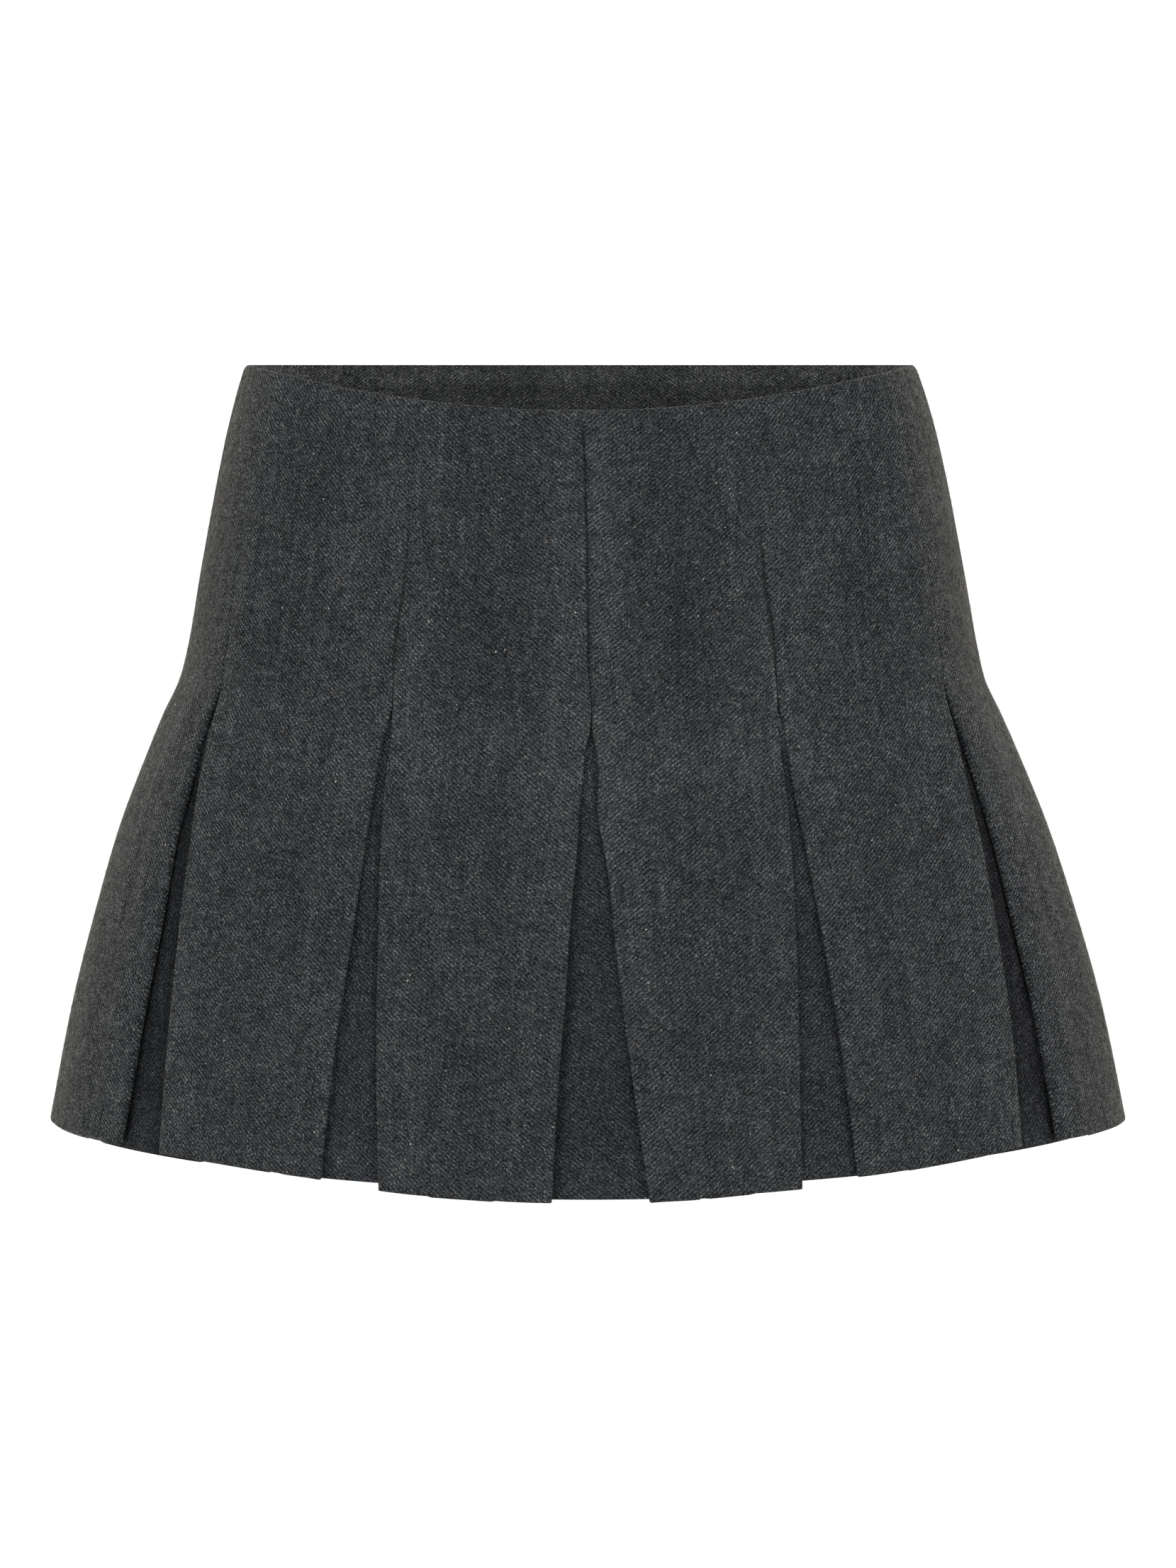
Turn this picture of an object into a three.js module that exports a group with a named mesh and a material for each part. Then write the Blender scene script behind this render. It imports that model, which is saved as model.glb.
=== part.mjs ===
// A low-rise pleated mini skirt in wool flannel twill, in the hollow form it has when it is worn.
// Millimetres, +Z up. The origin is the centre of the waist opening, level with the back waist edge.
// The front faces -Y and +X is the wearer's left.
//
// Twelve straight panels hang side by side. Each has its two long edges turned back behind it, and
// behind every pair of turned edges lies a pleat underlay. The pleats are sewn shut down to the
// release, and below it each opens as an inverted V. All the flare is in those openings.
import * as THREE from 'three';

// The cloth and how it is folded.
const WALL = 1.7; // thickness of one layer
const FOLD_AIR = 0.8; // space between a panel and the edge turned back behind it
const SEAM_GAP = 0.3; // space between two pieces that are sewn together
const UNDERLAY_GAP = 0.45; // the same behind the turned edges, where both layers are curved
const RETURN_DEPTH = 22; // how far a turned edge reaches behind its panel
const RETURN_SPLAY = 5; // how far its inner edge stands off the panel at the hem
const EDGE_FALL = 2; // how far a panel's folds lie inside its middle at the hem
const SEAM_ROLL = THREE.MathUtils.degToRad(20); // how far a panel's edge rolls in at a closed seam
const FULL_FOLD = Math.PI;
const OPENING_POWER = 0.95; // below 1, a pleat opens a little faster near its release

// Heights are shares of the length from the waist edge (0) to the hem (1).
const ROLL_START = 0.3; // above this the edge of a panel is only rolled in
const RETURN_TOP = 0.375; // here it is folded right over, and the underlay begins
const WAIST_DIP = 19; // how much lower the waist edge is at the centre front
const WAIST_DIP_POWER = 2.3; // how fast the dip fades towards the sides

// Makes a list of named records from a row of column names and one row of values for each record.
function tableOf(columns, ...rows) {
  return rows.map((row) => Object.fromEntries(columns.map((column, place) => [column, row[place]])));
}

// Worn shape: one row for each level ring, by its drop below the waist. Depths are measured from
// the axis to the front and to the back, lean is the ring's shift towards the wearer's left, and
// slack is the share by which the ring is flattened between its four ends.
const RINGS = tableOf(
  ['drop', 'halfWidth', 'front', 'back', 'lean', 'slack'],
  [0, 150.0, 110, 106, 0.0, 0],
  [15, 154.2, 114, 112, 0.4, 0],
  [45, 161.2, 121, 124, 0.8, 0],
  [91, 170.2, 131, 137, 1.0, 0.005],
  [129, 177.2, 139, 144, 1.1, 0.01],
  [141, 180.5, 142, 147, 0.9, 0.015],
  [155, 187.3, 146, 151, 0.9, 0.02],
  [175, 196.1, 152, 156, 1.2, 0.025],
  [205, 208.4, 161, 163, 1.6, 0.03],
  [236, 218.8, 169, 171, 2.2, 0.035],
  [282, 232.2, 180, 181, 2.9, 0.04],
  [344, 245.7, 193, 193, 3.4, 0.045],
);

// Pleats, in order round the skirt from the centre front towards the wearer's left. Angles are in
// degrees at the waist and at the hem, stitched is the share of the length that is sewn shut,
// opening is the width at the hem, the skews are how far the pleat is pulled to +X at the closed
// seam and at the hem, and the last two are the drops of the hem on the panel that ends at the
// pleat and on the one that starts there.
const PLEATS = tableOf(
  ['name', 'waist', 'hem', 'stitched', 'opening', 'seamSkew', 'hemSkew', 'hemBefore', 'hemAfter'],
  ['front_centre', 0, 0, 0.42, 41, 2.3, 7, 343, 343],
  ['front_left_inner', 27.2, 25.5, 0.4, 27, 0, 0, 340.5, 337.5],
  ['front_left_outer', 62.5, 57, 0.405, 24.5, 0, 0, 334, 334.5],
  ['side_left', 90, 90, 0.41, 30, 0, 0, 336.5, 337],
  ['back_left_outer', 119, 124, 0.41, 28, 0, 0, 336, 337],
  ['back_left_inner', 153.5, 155, 0.405, 27, 0, 0, 339, 340],
  ['back_centre', 180, 180, 0.42, 34, 0, 0, 342, 342],
  ['back_right_inner', 206.5, 205, 0.405, 28, 0, 0, 340, 339],
  ['back_right_outer', 241, 236, 0.41, 27, 0, 0, 337, 336],
  ['side_right', 270, 270, 0.41, 30, 0, 0, 337, 336.5],
  ['front_right_outer', 298, 304, 0.405, 26, 0, 0, 336, 336.5],
  ['front_right_inner', 333.3, 334.9, 0.4, 26.5, 0, 0, 338.5, 341],
);

// The panel that follows each pleat, in the same order.
const PANEL_NAMES = [
  'front_left_inner', 'front_left_middle', 'front_left_side',
  'back_left_side', 'back_left_middle', 'back_left_inner',
  'back_right_inner', 'back_right_middle', 'back_right_side',
  'front_right_side', 'front_right_middle', 'front_right_inner',
];

// How finely the walls are drawn.
const ROWS = [0, 0.1, 0.2, ROLL_START, 0.34, RETURN_TOP, 0.42, 0.48, 0.56, 0.66, 0.78, 0.89, 1];
const PANEL_CELLS = 6;
const FOLD_CELLS = 3;
const RETURN_CELLS = 3;
const UNDERLAY_CELLS = 6;

const WOOL = { color: '#3a3c3e', roughness: 0.95, metalness: 0 };
const WOOL_IN_SHADE = { color: '#313336', roughness: 0.95, metalness: 0 };

const { lerp, smoothstep, degToRad, clamp } = THREE.MathUtils;
const TURN = 2 * Math.PI;

// ---- The worn shape ----

function curveOf(key) {
  const drops = RINGS.map((ring) => ring.drop);
  const values = RINGS.map((ring) => ring[key]);
  const curve = new THREE.CubicInterpolant(drops, values, 1);
  return (drop) => curve.evaluate(drop)[0];
}

const halfWidthAt = curveOf('halfWidth');
const frontAt = curveOf('front');
const backAt = curveOf('back');
const leanAt = curveOf('lean');
const slackAt = curveOf('slack');

// A point of the level ring at this drop. The angle runs from the centre front towards +X.
function ringPoint(angle, drop) {
  const sine = Math.sin(angle);
  const cosine = Math.cos(angle);
  const depth = cosine > 0 ? frontAt(drop) : backAt(drop);
  const reach = 1 - slackAt(drop) * Math.sin(2 * angle) ** 2;
  return new THREE.Vector2(
    leanAt(drop) + halfWidthAt(drop) * sine * reach,
    -depth * cosine * reach,
  );
}

// The ring's direction at an angle, as millimetres per radian.
function ringTangent(angle, drop) {
  const step = 0.01;
  const ahead = ringPoint(angle + step, drop);
  const behind = ringPoint(angle - step, drop);
  return ahead.sub(behind).divideScalar(2 * step);
}

function waistDrop(angle) {
  return WAIST_DIP * Math.max(0, Math.cos(angle)) ** WAIST_DIP_POWER;
}

// A point at a share of the length, moved inwards from the outer surface by inset.
function wornPoint(angle, share, hemDrop, inset) {
  const drop = lerp(waistDrop(angle), hemDrop, share);
  const point = ringPoint(angle, drop);
  const tangent = ringTangent(angle, drop).normalize();
  return new THREE.Vector3(
    point.x - tangent.y * inset,
    point.y + tangent.x * inset,
    -drop,
  );
}

// ---- Pleats ----

// The middle line of a pleat, its opening, and how much angle one millimetre takes beside it.
function pleatAt(pleat, share) {
  const released = clamp((share - pleat.stitched) / (1 - pleat.stitched), 0, 1);
  const below = clamp((share - RETURN_TOP) / (1 - RETURN_TOP), 0, 1);
  const line = degToRad(lerp(pleat.waist, pleat.hem, below));
  const hemDrop = (pleat.hemBefore + pleat.hemAfter) / 2;
  const drop = lerp(waistDrop(line), hemDrop, share);
  const perMm = 1 / ringTangent(line, drop).length();
  return {
    angle: line + lerp(pleat.seamSkew, pleat.hemSkew, released) * perMm,
    opening: pleat.opening * released ** OPENING_POWER,
    perMm,
    hemDrop,
  };
}

function splayAt(share) {
  return RETURN_SPLAY * smoothstep(share, RETURN_TOP, 1);
}

function edgeFallAt(share) {
  return EDGE_FALL * smoothstep(share, RETURN_TOP, 1);
}

// How far the edge of a panel is turned: a small roll at the closed seam, then a full fold.
function foldAngleAt(share) {
  return lerp(SEAM_ROLL, FULL_FOLD, smoothstep(share, ROLL_START, RETURN_TOP));
}

// ---- Walls ----

// Makes a closed wall from a grid of cells. point(column, row, side) gives the outer face for side 1
// and the inner face for side -1. Only the cells that has(column, row) names are there, and the
// wall is closed round their border.
function makeWall(columns, rows, has, point) {
  const positions = [];
  const triangles = [];
  const numbers = new Map();

  function corner(column, row, side) {
    const key = `${column},${row},${side}`;
    if (!numbers.has(key)) {
      numbers.set(key, numbers.size);
      positions.push(...point(column, row, side).toArray());
    }
    return numbers.get(key);
  }

  function closeBorder(from, to) {
    const [outerFrom, innerFrom] = [corner(...from, 1), corner(...from, -1)];
    const [outerTo, innerTo] = [corner(...to, 1), corner(...to, -1)];
    triangles.push(outerTo, outerFrom, innerFrom);
    triangles.push(outerTo, innerFrom, innerTo);
  }

  for (let row = 0; row < rows; row += 1) {
    for (let column = 0; column < columns; column += 1) {
      if (has(column, row)) {
        const loop = [[column, row], [column, row + 1], [column + 1, row + 1], [column + 1, row]];
        const outer = loop.map((place) => corner(...place, 1));
        const inner = loop.map((place) => corner(...place, -1));
        triangles.push(outer[0], outer[1], outer[2], outer[0], outer[2], outer[3]);
        triangles.push(inner[0], inner[2], inner[1], inner[0], inner[3], inner[2]);
        const beside = [[column - 1, row], [column, row + 1], [column + 1, row], [column, row - 1]];
        beside.forEach((cell, edge) => {
          if (!has(...cell)) closeBorder(loop[edge], loop[(edge + 1) % loop.length]);
        });
      }
    }
  }

  const geometry = new THREE.BufferGeometry();
  geometry.setAttribute('position', new THREE.Float32BufferAttribute(positions, 3));
  geometry.setIndex(triangles);
  geometry.computeVertexNormals();
  return geometry;
}

// One edge of a panel at a height. From the last flat point of the panel, the cloth turns through
// an arc, and then runs back behind the panel. Lengths are millimetres towards the pleat.
function edgeSection(share) {
  const arcLength = FULL_FOLD * (WALL + FOLD_AIR) / 2;
  const turn = foldAngleAt(share);
  const radius = arcLength / turn;
  const reach = (radius + WALL / 2) * (turn > Math.PI / 2 ? 1 : Math.sin(turn));
  return { turn, radius, reach };
}

// A place across the wall of a turned edge, as a distance towards the pleat and an inset. step
// counts the cells from the last flat point, and side picks the face.
function turnedEdge(step, side, share) {
  const { turn, radius, reach } = edgeSection(share);
  const angle = turn * Math.min(step / FOLD_CELLS, 1);
  const faceRadius = radius + side * WALL / 2;
  const along = faceRadius * Math.sin(angle);
  const inset = WALL / 2 + radius - faceRadius * Math.cos(angle);
  const back = Math.max(step / FOLD_CELLS - 1, 0) * FOLD_CELLS / RETURN_CELLS;
  return {
    along: along - back * (RETURN_DEPTH - reach),
    inset: inset + splayAt(share) * back ** 1.5,
  };
}

function panelGeometry(pleatBefore, pleatAfter) {
  const edgeCells = FOLD_CELLS + RETURN_CELLS;
  const columns = PANEL_CELLS + 2 * edgeCells;
  const rows = ROWS.length - 1;
  const returnRow = ROWS.indexOf(RETURN_TOP);

  function has(column, row) {
    if (row < 0 || row >= rows || column < 0 || column >= columns) return false;
    const inReturn = column < RETURN_CELLS || column >= columns - RETURN_CELLS;
    return !inReturn || row >= returnRow;
  }

  function point(column, row, side) {
    const share = ROWS[row];
    const { reach } = edgeSection(share);
    const before = pleatAt(pleatBefore, share);
    const after = pleatAt(pleatAfter, share);
    const fullTurn = pleatAfter.waist > pleatBefore.waist ? 0 : TURN;
    const start = before.angle + (before.opening / 2 + SEAM_GAP / 2 + reach) * before.perMm;
    const end = after.angle + fullTurn - (after.opening / 2 + SEAM_GAP / 2 + reach) * after.perMm;
    const across = clamp((column - edgeCells) / PANEL_CELLS, 0, 1);
    const hemDrop = lerp(pleatBefore.hemAfter, pleatAfter.hemBefore, across);
    const fall = edgeFallAt(share) * Math.abs(2 * across - 1) ** 3;
    if (column >= edgeCells && column <= edgeCells + PANEL_CELLS) {
      const angle = lerp(start, end, across);
      return wornPoint(angle, share, hemDrop, fall + (1 - side) * WALL / 2);
    }
    if (column < edgeCells) {
      const edge = turnedEdge(edgeCells - column, side, share);
      return wornPoint(start - edge.along * before.perMm, share, hemDrop, fall + edge.inset);
    }
    const edge = turnedEdge(column - edgeCells - PANEL_CELLS, side, share);
    return wornPoint(end + edge.along * after.perMm, share, hemDrop, fall + edge.inset);
  }

  return makeWall(columns, rows, has, point);
}

// An underlay lies flat behind the inner edges of the two returns beside it.
function underlayGeometry(pleat) {
  const shares = ROWS.filter((share) => share >= RETURN_TOP);
  const rows = shares.length - 1;

  function has(column, row) {
    return row >= 0 && row < rows && column >= 0 && column < UNDERLAY_CELLS;
  }

  function point(column, row, side) {
    const share = shares[row];
    const { angle, opening, perMm, hemDrop } = pleatAt(pleat, share);
    const halfSpan = opening / 2 + RETURN_DEPTH;
    const along = halfSpan * (2 * column / UNDERLAY_CELLS - 1);
    const layersAbove = 2 * WALL + FOLD_AIR + UNDERLAY_GAP;
    const inset = layersAbove + splayAt(share) + edgeFallAt(share) + (1 - side) * WALL / 2;
    return wornPoint(angle + along * perMm, share, hemDrop, inset);
  }

  return makeWall(UNDERLAY_CELLS, rows, has, point);
}

// ---- The skirt ----

const group = new THREE.Group();

function addPiece(name, geometry, finish) {
  const mesh = new THREE.Mesh(geometry, new THREE.MeshStandardMaterial(finish));
  mesh.name = name;
  group.add(mesh);
}

PLEATS.forEach((pleat, index) => {
  const nextPleat = PLEATS[(index + 1) % PLEATS.length];
  addPiece(`panel_${PANEL_NAMES[index]}`, panelGeometry(pleat, nextPleat), WOOL);
  addPiece(`underlay_${pleat.name}`, underlayGeometry(pleat), WOOL_IN_SHADE);
});

export default group;
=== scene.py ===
"""A low-rise pleated mini skirt in brushed charcoal wool twill, modelled round its fixed frame.

Each panel and each pleat underlay is one sheet of cloth with rounded folds, a soft rolled seam, a
turned hem and pressed creases. The script is laid out as a Blender add-on and run as a script.
"""
import math
from types import SimpleNamespace

import bpy
import numpy as np
from bpy.props import FloatProperty, FloatVectorProperty, IntProperty, PointerProperty
from bpy.types import Operator, Panel, PropertyGroup
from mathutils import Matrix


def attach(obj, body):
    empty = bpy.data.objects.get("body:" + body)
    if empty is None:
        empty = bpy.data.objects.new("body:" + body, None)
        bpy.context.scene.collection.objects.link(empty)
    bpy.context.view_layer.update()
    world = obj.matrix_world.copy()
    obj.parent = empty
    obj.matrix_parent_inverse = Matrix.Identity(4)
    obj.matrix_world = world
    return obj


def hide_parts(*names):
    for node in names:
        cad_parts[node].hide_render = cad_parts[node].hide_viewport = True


bl_info = {
    "name": "Pleated flannel skirt",
    "version": (1, 0, 0),
    "blender": (4, 5, 0),
    "location": "View3D > Sidebar > Skirt",
    "description": "Builds the panels, pleat underlays, stitches and cloth of a pleated mini skirt",
    "category": "Object",
}

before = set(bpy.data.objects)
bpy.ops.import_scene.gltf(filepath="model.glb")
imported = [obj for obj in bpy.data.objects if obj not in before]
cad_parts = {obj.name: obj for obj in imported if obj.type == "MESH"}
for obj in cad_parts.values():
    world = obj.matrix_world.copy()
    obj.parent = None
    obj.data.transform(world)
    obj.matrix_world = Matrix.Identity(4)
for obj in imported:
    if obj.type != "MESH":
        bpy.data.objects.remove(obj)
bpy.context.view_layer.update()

MM = 0.001
BODY = "root"


# ---------------------------------------------------------------------------------------------
# The worn shape, in millimetres. Drops are measured down from the back waist edge.
# ---------------------------------------------------------------------------------------------

def table_of(columns, *rows):
    """Named records from a row of column names and one row of values for each record."""
    return [dict(zip(columns, row)) for row in rows]


# One row for each level ring. Depths run from the axis to the front and to the back, lean is the
# ring's shift towards the wearer's left and slack is how far it is flattened between its ends.
RINGS = table_of(
    ("drop", "half_width", "front", "back", "lean", "slack"),
    (0, 150.0, 110, 106, 0.0, 0.0),
    (15, 154.2, 114, 112, 0.4, 0.0),
    (45, 161.2, 121, 124, 0.8, 0.0),
    (91, 170.2, 131, 137, 1.0, 0.005),
    (129, 177.2, 139, 144, 1.1, 0.01),
    (141, 180.5, 142, 147, 0.9, 0.015),
    (155, 187.3, 146, 151, 0.9, 0.02),
    (175, 196.1, 152, 156, 1.2, 0.025),
    (205, 208.4, 161, 163, 1.6, 0.03),
    (236, 218.8, 169, 171, 2.2, 0.035),
    (282, 232.2, 180, 181, 2.9, 0.04),
    (344, 245.7, 193, 193, 3.4, 0.045),
)

# Pleats, from the centre front towards the wearer's left. Angles are in degrees at the waist and
# at the hem, stitched is the share of the length sewn shut, opening is the width at the hem and
# the skews are the pull to +X. Hems are the drops on the panels before and after the pleat.
# roll is how far, in degrees, the cloth turns in at the closed seam above the release, seam is the
# share of the length where the pressed seam first shows as a line, lift is how much shorter the
# underlay hangs and shade is the underlay's brightness beside the panels: painted shade for the
# pleat's hollow.
PLEATS = table_of(
    ("name", "waist", "hem", "stitched", "opening", "seam_skew", "hem_skew",
     "hem_before", "hem_after", "roll", "seam", "lift", "shade"),
    ("front_centre", 0, 0, 0.42, 41, 2.3, 7, 343, 343, 30, 0.0, 1.2, 0.8),
    ("front_left_inner", 27.2, 25.5, 0.4, 27, 0, 0, 340.5, 337.5, 17, 0.15, 1.6, 0.86),
    ("front_left_outer", 62.5, 57, 0.392, 24.5, 0, 0, 334, 334.5, 8, 0.35, -1.6, 0.43),
    ("side_left", 90, 90, 0.41, 30, 0, 0, 336.5, 337, 14, 0.12, 1.2, 0.7),
    ("back_left_outer", 119, 124, 0.41, 28, 0, 0, 336, 337, 9, 0.45, 1.3, 0.74),
    ("back_left_inner", 153.5, 155, 0.405, 27, 0, 0, 339, 340, 16, 0.16, 1.6, 0.82),
    ("back_centre", 180, 180, 0.42, 34, 0, 0, 342, 342, 27, 0.1, 1.2, 0.8),
    ("back_right_inner", 206.5, 205, 0.405, 28, 0, 0, 340, 339, 17, 0.17, 1.5, 0.82),
    ("back_right_outer", 241, 236, 0.41, 27, 0, 0, 337, 336, 8, 0.45, 1.3, 0.74),
    ("side_right", 270, 270, 0.41, 30, 0, 0, 337, 336.5, 15, 0.12, 1.2, 0.7),
    ("front_right_outer", 298, 304, 0.392, 26, 0, 0, 336, 336.5, 8, 0.35, -1.6, 0.43),
    ("front_right_inner", 333.3, 334.9, 0.4, 26.5, 0, 0, 338.5, 341, 18, 0.15, 1.6, 0.86),
)

# How far a fold line wanders along the ring, in millimetres, at shares of the length. Each pleat
# has a line on the panel before it and one on the panel after it.
DRIFT_SHARES = (0.42, 0.55, 0.7, 0.85, 1.0)
# The three front seams also lean above the release and open unevenly below it. Shares of the
# length, then how far the line before and the line after the pleat is moved.
CENTRE_SHARES = (0.0, 0.04, 0.1, 0.164, 0.2, 0.28, 0.325, 0.38, 0.41, 0.433, 0.469, 0.514, 0.559,
                 0.613, 0.667, 0.75)
INNER_SHARES = (0.0, 0.1, 0.177, 0.231, 0.286, 0.34, 0.394, 0.431, 0.467, 0.512, 0.56)
SEAM_DRIFT = {
    "front_centre": (
        CENTRE_SHARES,
        (-2.0, -1.3, -0.7, -0.3, -0.2, 0.3, 0.3, 1.8, 1.2, -0.3, -0.5, -0.95, -0.6, -0.95, -0.8, 0),
        (-2.0, -1.3, -0.7, -0.3, -0.2, 0.3, 0.3, 1.8, 2.1, 2.9, 1.9, -0.95, -0.3, 0.3, 0.0, 0),
    ),
    "front_right_inner": (
        INNER_SHARES,
        (1.0, 1.4, 1.4, 1.4, 0.0, -0.9, 0.7, 0.0, -0.7, -0.35, 0),
        (1.0, 1.4, 1.4, 1.4, 0.0, -0.9, 0.9, 1.8, 0.9, 0.0, 0),
    ),
    "front_left_inner": (
        INNER_SHARES,
        (0.0, 0.0, -0.3, -0.5, 0.8, 1.4, 0.9, -0.4, -0.3, 0.0, 0),
        (0.0, 0.0, -0.3, -0.5, 0.8, 1.4, 1.1, 1.4, 0.6, 0.0, 0),
    ),
    "front_right_outer": (
        (0.4, 0.45, 0.5, 0.551, 0.603, 0.689, 0.8, 0.89, 1.0),
        (0.0, -0.6, -1.1, 0.0, 0.0, 1.4, 2.0, 1.7, 0.0),
        (0.0, -0.6, -1.4, -0.8, 1.1, 1.1, 1.7, 1.1, 0.0),
    ),
}
FOLD_DRIFT = {
    "front_centre": ((0, 0.0, -1.1, -2.2, -1.5), (0, 0.3, -1.5, -2.0, -1.6)),
    "front_left_inner": ((0, 0.3, -0.5, -1.2, 0.0), (0, -1.3, -1.2, -0.6, -0.4)),
    "front_left_outer": ((0, -2.6, -2.6, -1.4, 0.0), (0, -2.0, -3.3, -1.6, 0.0)),
    "side_left": ((0, 0.6, -0.8, 0.4, 0.9), (0, -0.5, 0.9, 1.1, -0.4)),
    "back_left_outer": ((0, 1.1, 1.6, 0.5, -0.3), (0, 0.4, 1.2, 0.9, 0.2)),
    "back_left_inner": ((0, -0.6, -1.2, -0.4, 0.5), (0, 0.5, -0.7, -1.0, 0.3)),
    "back_centre": ((0, 0.4, 1.2, 1.7, 0.9), (0, -0.5, 0.8, 1.5, 1.1)),
    "back_right_inner": ((0, -0.4, 0.7, 1.1, -0.2), (0, 0.7, 1.3, 0.4, -0.6)),
    "back_right_outer": ((0, -0.7, -1.5, -0.8, 0.1), (0, -1.2, -1.7, -0.5, 0.4)),
    "side_right": ((0, 0.5, -0.7, -1.0, 0.5), (0, -0.7, 0.6, -0.3, -0.9)),
    "front_right_outer": ((0, 2.0, 3.3, 1.6, 0.0), (0, 2.6, 2.6, 1.4, 0.0)),
    "front_right_inner": ((0, 1.6, 1.6, 0.3, 0.3), (0, 0.8, 1.0, 0.8, 1.3)),
}

# The panel that follows each pleat, in the same order.
PANEL_NAMES = (
    "front_left_inner", "front_left_middle", "front_left_side",
    "back_left_side", "back_left_middle", "back_left_inner",
    "back_right_inner", "back_right_middle", "back_right_side",
    "front_right_side", "front_right_middle", "front_right_inner",
)

# How far the waist edge dips at the centre front, and how sharply.
WAIST_DIP = 19.0
WAIST_DIP_POWER = 2.3
# A panel's edge turns from a small roll to a full fold between these shares of the length.
ROLL_START = 0.33
RETURN_TOP = 0.375
FULL_FOLD = math.pi
# The waist turning holds the roll of a seam nearly flat: what is left of the roll at the top edge,
# and the share of the length below which it is whole.
TOP_ROLL = 0.12
SEAM_EASE = 0.07
# How fast a pleat opens below its release, where 1 is a straight flare.
OPENING_POWER = 0.95
# How far the folds and the underlay fall inwards at the hem.
EDGE_FALL = 2.0
# How far the lips of a closed seam are pressed together at the waist edge, where the seam is
# pressed out of sight and where it shows.
TOP_LIP_PRESS = 0.7
HIDDEN_LIP_PRESS = 0.42
SEAM_LIP_PRESS = 0.07
# The turned waist edge rolls in twice, over its depth and sharply at its rim: how far in, over
# what height and with which power.
WAIST_ROLL = ((1.15, 34.0, 1.5), (1.6, 3.2, 2.0))
# A usual length, which turns shares into millimetres, and how far the rounded rims at the waist
# and at the hem reach past the first and last rows.
LENGTH = 340.0
TOP_TRIM = 0.9
HEM_TRIM = 0.9
# Rows of the cloth's grid: crowded at the top edge (how many, down to which share and by which
# power), then even in stretches (from, to, how many).
TOP_ROWS = (6, 0.03, 1.6)
ROWS = ((0.03, ROLL_START, 34), (ROLL_START, 0.47, 28), (0.47, 0.98, 58), (0.98, 1.0, 4))
# Less than any step in the cloth, to compare shares and to divide safely.
SLACK = 1e-9


def smooth_curve(samples, values):
    """A smooth function through the values, held level beyond both ends."""
    samples = np.array(samples, float)
    values = np.array(values, float)
    chords = np.diff(values) / np.diff(samples)
    slopes = np.concatenate([chords[:1], (chords[:-1] + chords[1:]) / 2, chords[-1:]])

    def at(place):
        place = np.clip(place, samples[0], samples[-1])
        low = np.clip(np.searchsorted(samples, place, side="right") - 1, 0, len(samples) - 2)
        step = samples[low + 1] - samples[low]
        t = (place - samples[low]) / step
        return (
            values[low] * (1 + 2 * t) * (1 - t) ** 2
            + values[low + 1] * t ** 2 * (3 - 2 * t)
            + step * slopes[low] * t * (1 - t) ** 2
            + step * slopes[low + 1] * t ** 2 * (t - 1)
        )

    return at


# The ring table's columns as smooth functions of the drop.
RING_AT = {
    key: smooth_curve([ring["drop"] for ring in RINGS], [ring[key] for ring in RINGS])
    for key in ("half_width", "front", "back", "lean", "slack")
}


def smooth_step(value, low, high):
    """0 at low, 1 at high and an S-shaped ramp between them. low may be above high."""
    t = np.clip((value - low) / (high - low), 0, 1)
    return t * t * (3 - 2 * t)


def ramp_at(line, value, reach):
    """A ramp from 0 to 1 across a line, from so far before it to so far after it."""
    before, after = reach
    return smooth_step(value, line + before, line + after)


def blend(a, b, t):
    return a + (b - a) * t


def ring_point(angle, drop):
    """A point of the level ring: x and y, in millimetres."""
    depth = np.where(np.cos(angle) > 0, RING_AT["front"](drop), RING_AT["back"](drop))
    reach = 1 - RING_AT["slack"](drop) * np.sin(2 * angle) ** 2
    return (
        RING_AT["lean"](drop) + RING_AT["half_width"](drop) * np.sin(angle) * reach,
        -depth * np.cos(angle) * reach,
    )


def ring_tangent(angle, drop):
    """The ring's direction, as millimetres for each radian."""
    step = 0.01
    x_ahead, y_ahead = ring_point(angle + step, drop)
    x_behind, y_behind = ring_point(angle - step, drop)
    return (x_ahead - x_behind) / (2 * step), (y_ahead - y_behind) / (2 * step)


def waist_drop(angle):
    return WAIST_DIP * np.clip(np.cos(angle), 0, None) ** WAIST_DIP_POWER


def worn_point(angle, share, hem_drop, inset):
    """A point at a share of the length, moved in from the outer surface by inset."""
    drop = blend(waist_drop(angle), hem_drop, share)
    x, y = ring_point(angle, drop)
    along_x, along_y = ring_tangent(angle, drop)
    length = np.hypot(along_x, along_y)
    return np.stack(
        [x - along_y / length * inset, y + along_x / length * inset, -drop * np.ones_like(x)],
        axis=-1,
    )


def pleat_at(pleat, share):
    """The pleat's middle line, its opening and the angle that a millimetre takes beside it."""
    released = np.clip((share - pleat["stitched"]) / (1 - pleat["stitched"]), 0, 1)
    below = np.clip((share - RETURN_TOP) / (1 - RETURN_TOP), 0, 1)
    line = np.radians(blend(pleat["waist"], pleat["hem"], below))
    hem_drop = (pleat["hem_before"] + pleat["hem_after"]) / 2
    per_mm = 1 / np.hypot(*ring_tangent(line, blend(waist_drop(line), hem_drop, share)))
    skew = blend(pleat["seam_skew"], pleat["hem_skew"], released)
    return line + skew * per_mm, pleat["opening"] * released ** OPENING_POWER, per_mm


def fold_drift(pleat, side, share):
    """How far the fold line before (0) or after (1) the pleat wanders along the ring."""
    drift = smooth_curve(DRIFT_SHARES, FOLD_DRIFT[pleat["name"]][side])(share)
    if pleat["name"] in SEAM_DRIFT:
        shares, *moves = SEAM_DRIFT[pleat["name"]]
        drift = drift + smooth_curve(shares, moves[side])(share)
    return drift


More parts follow.
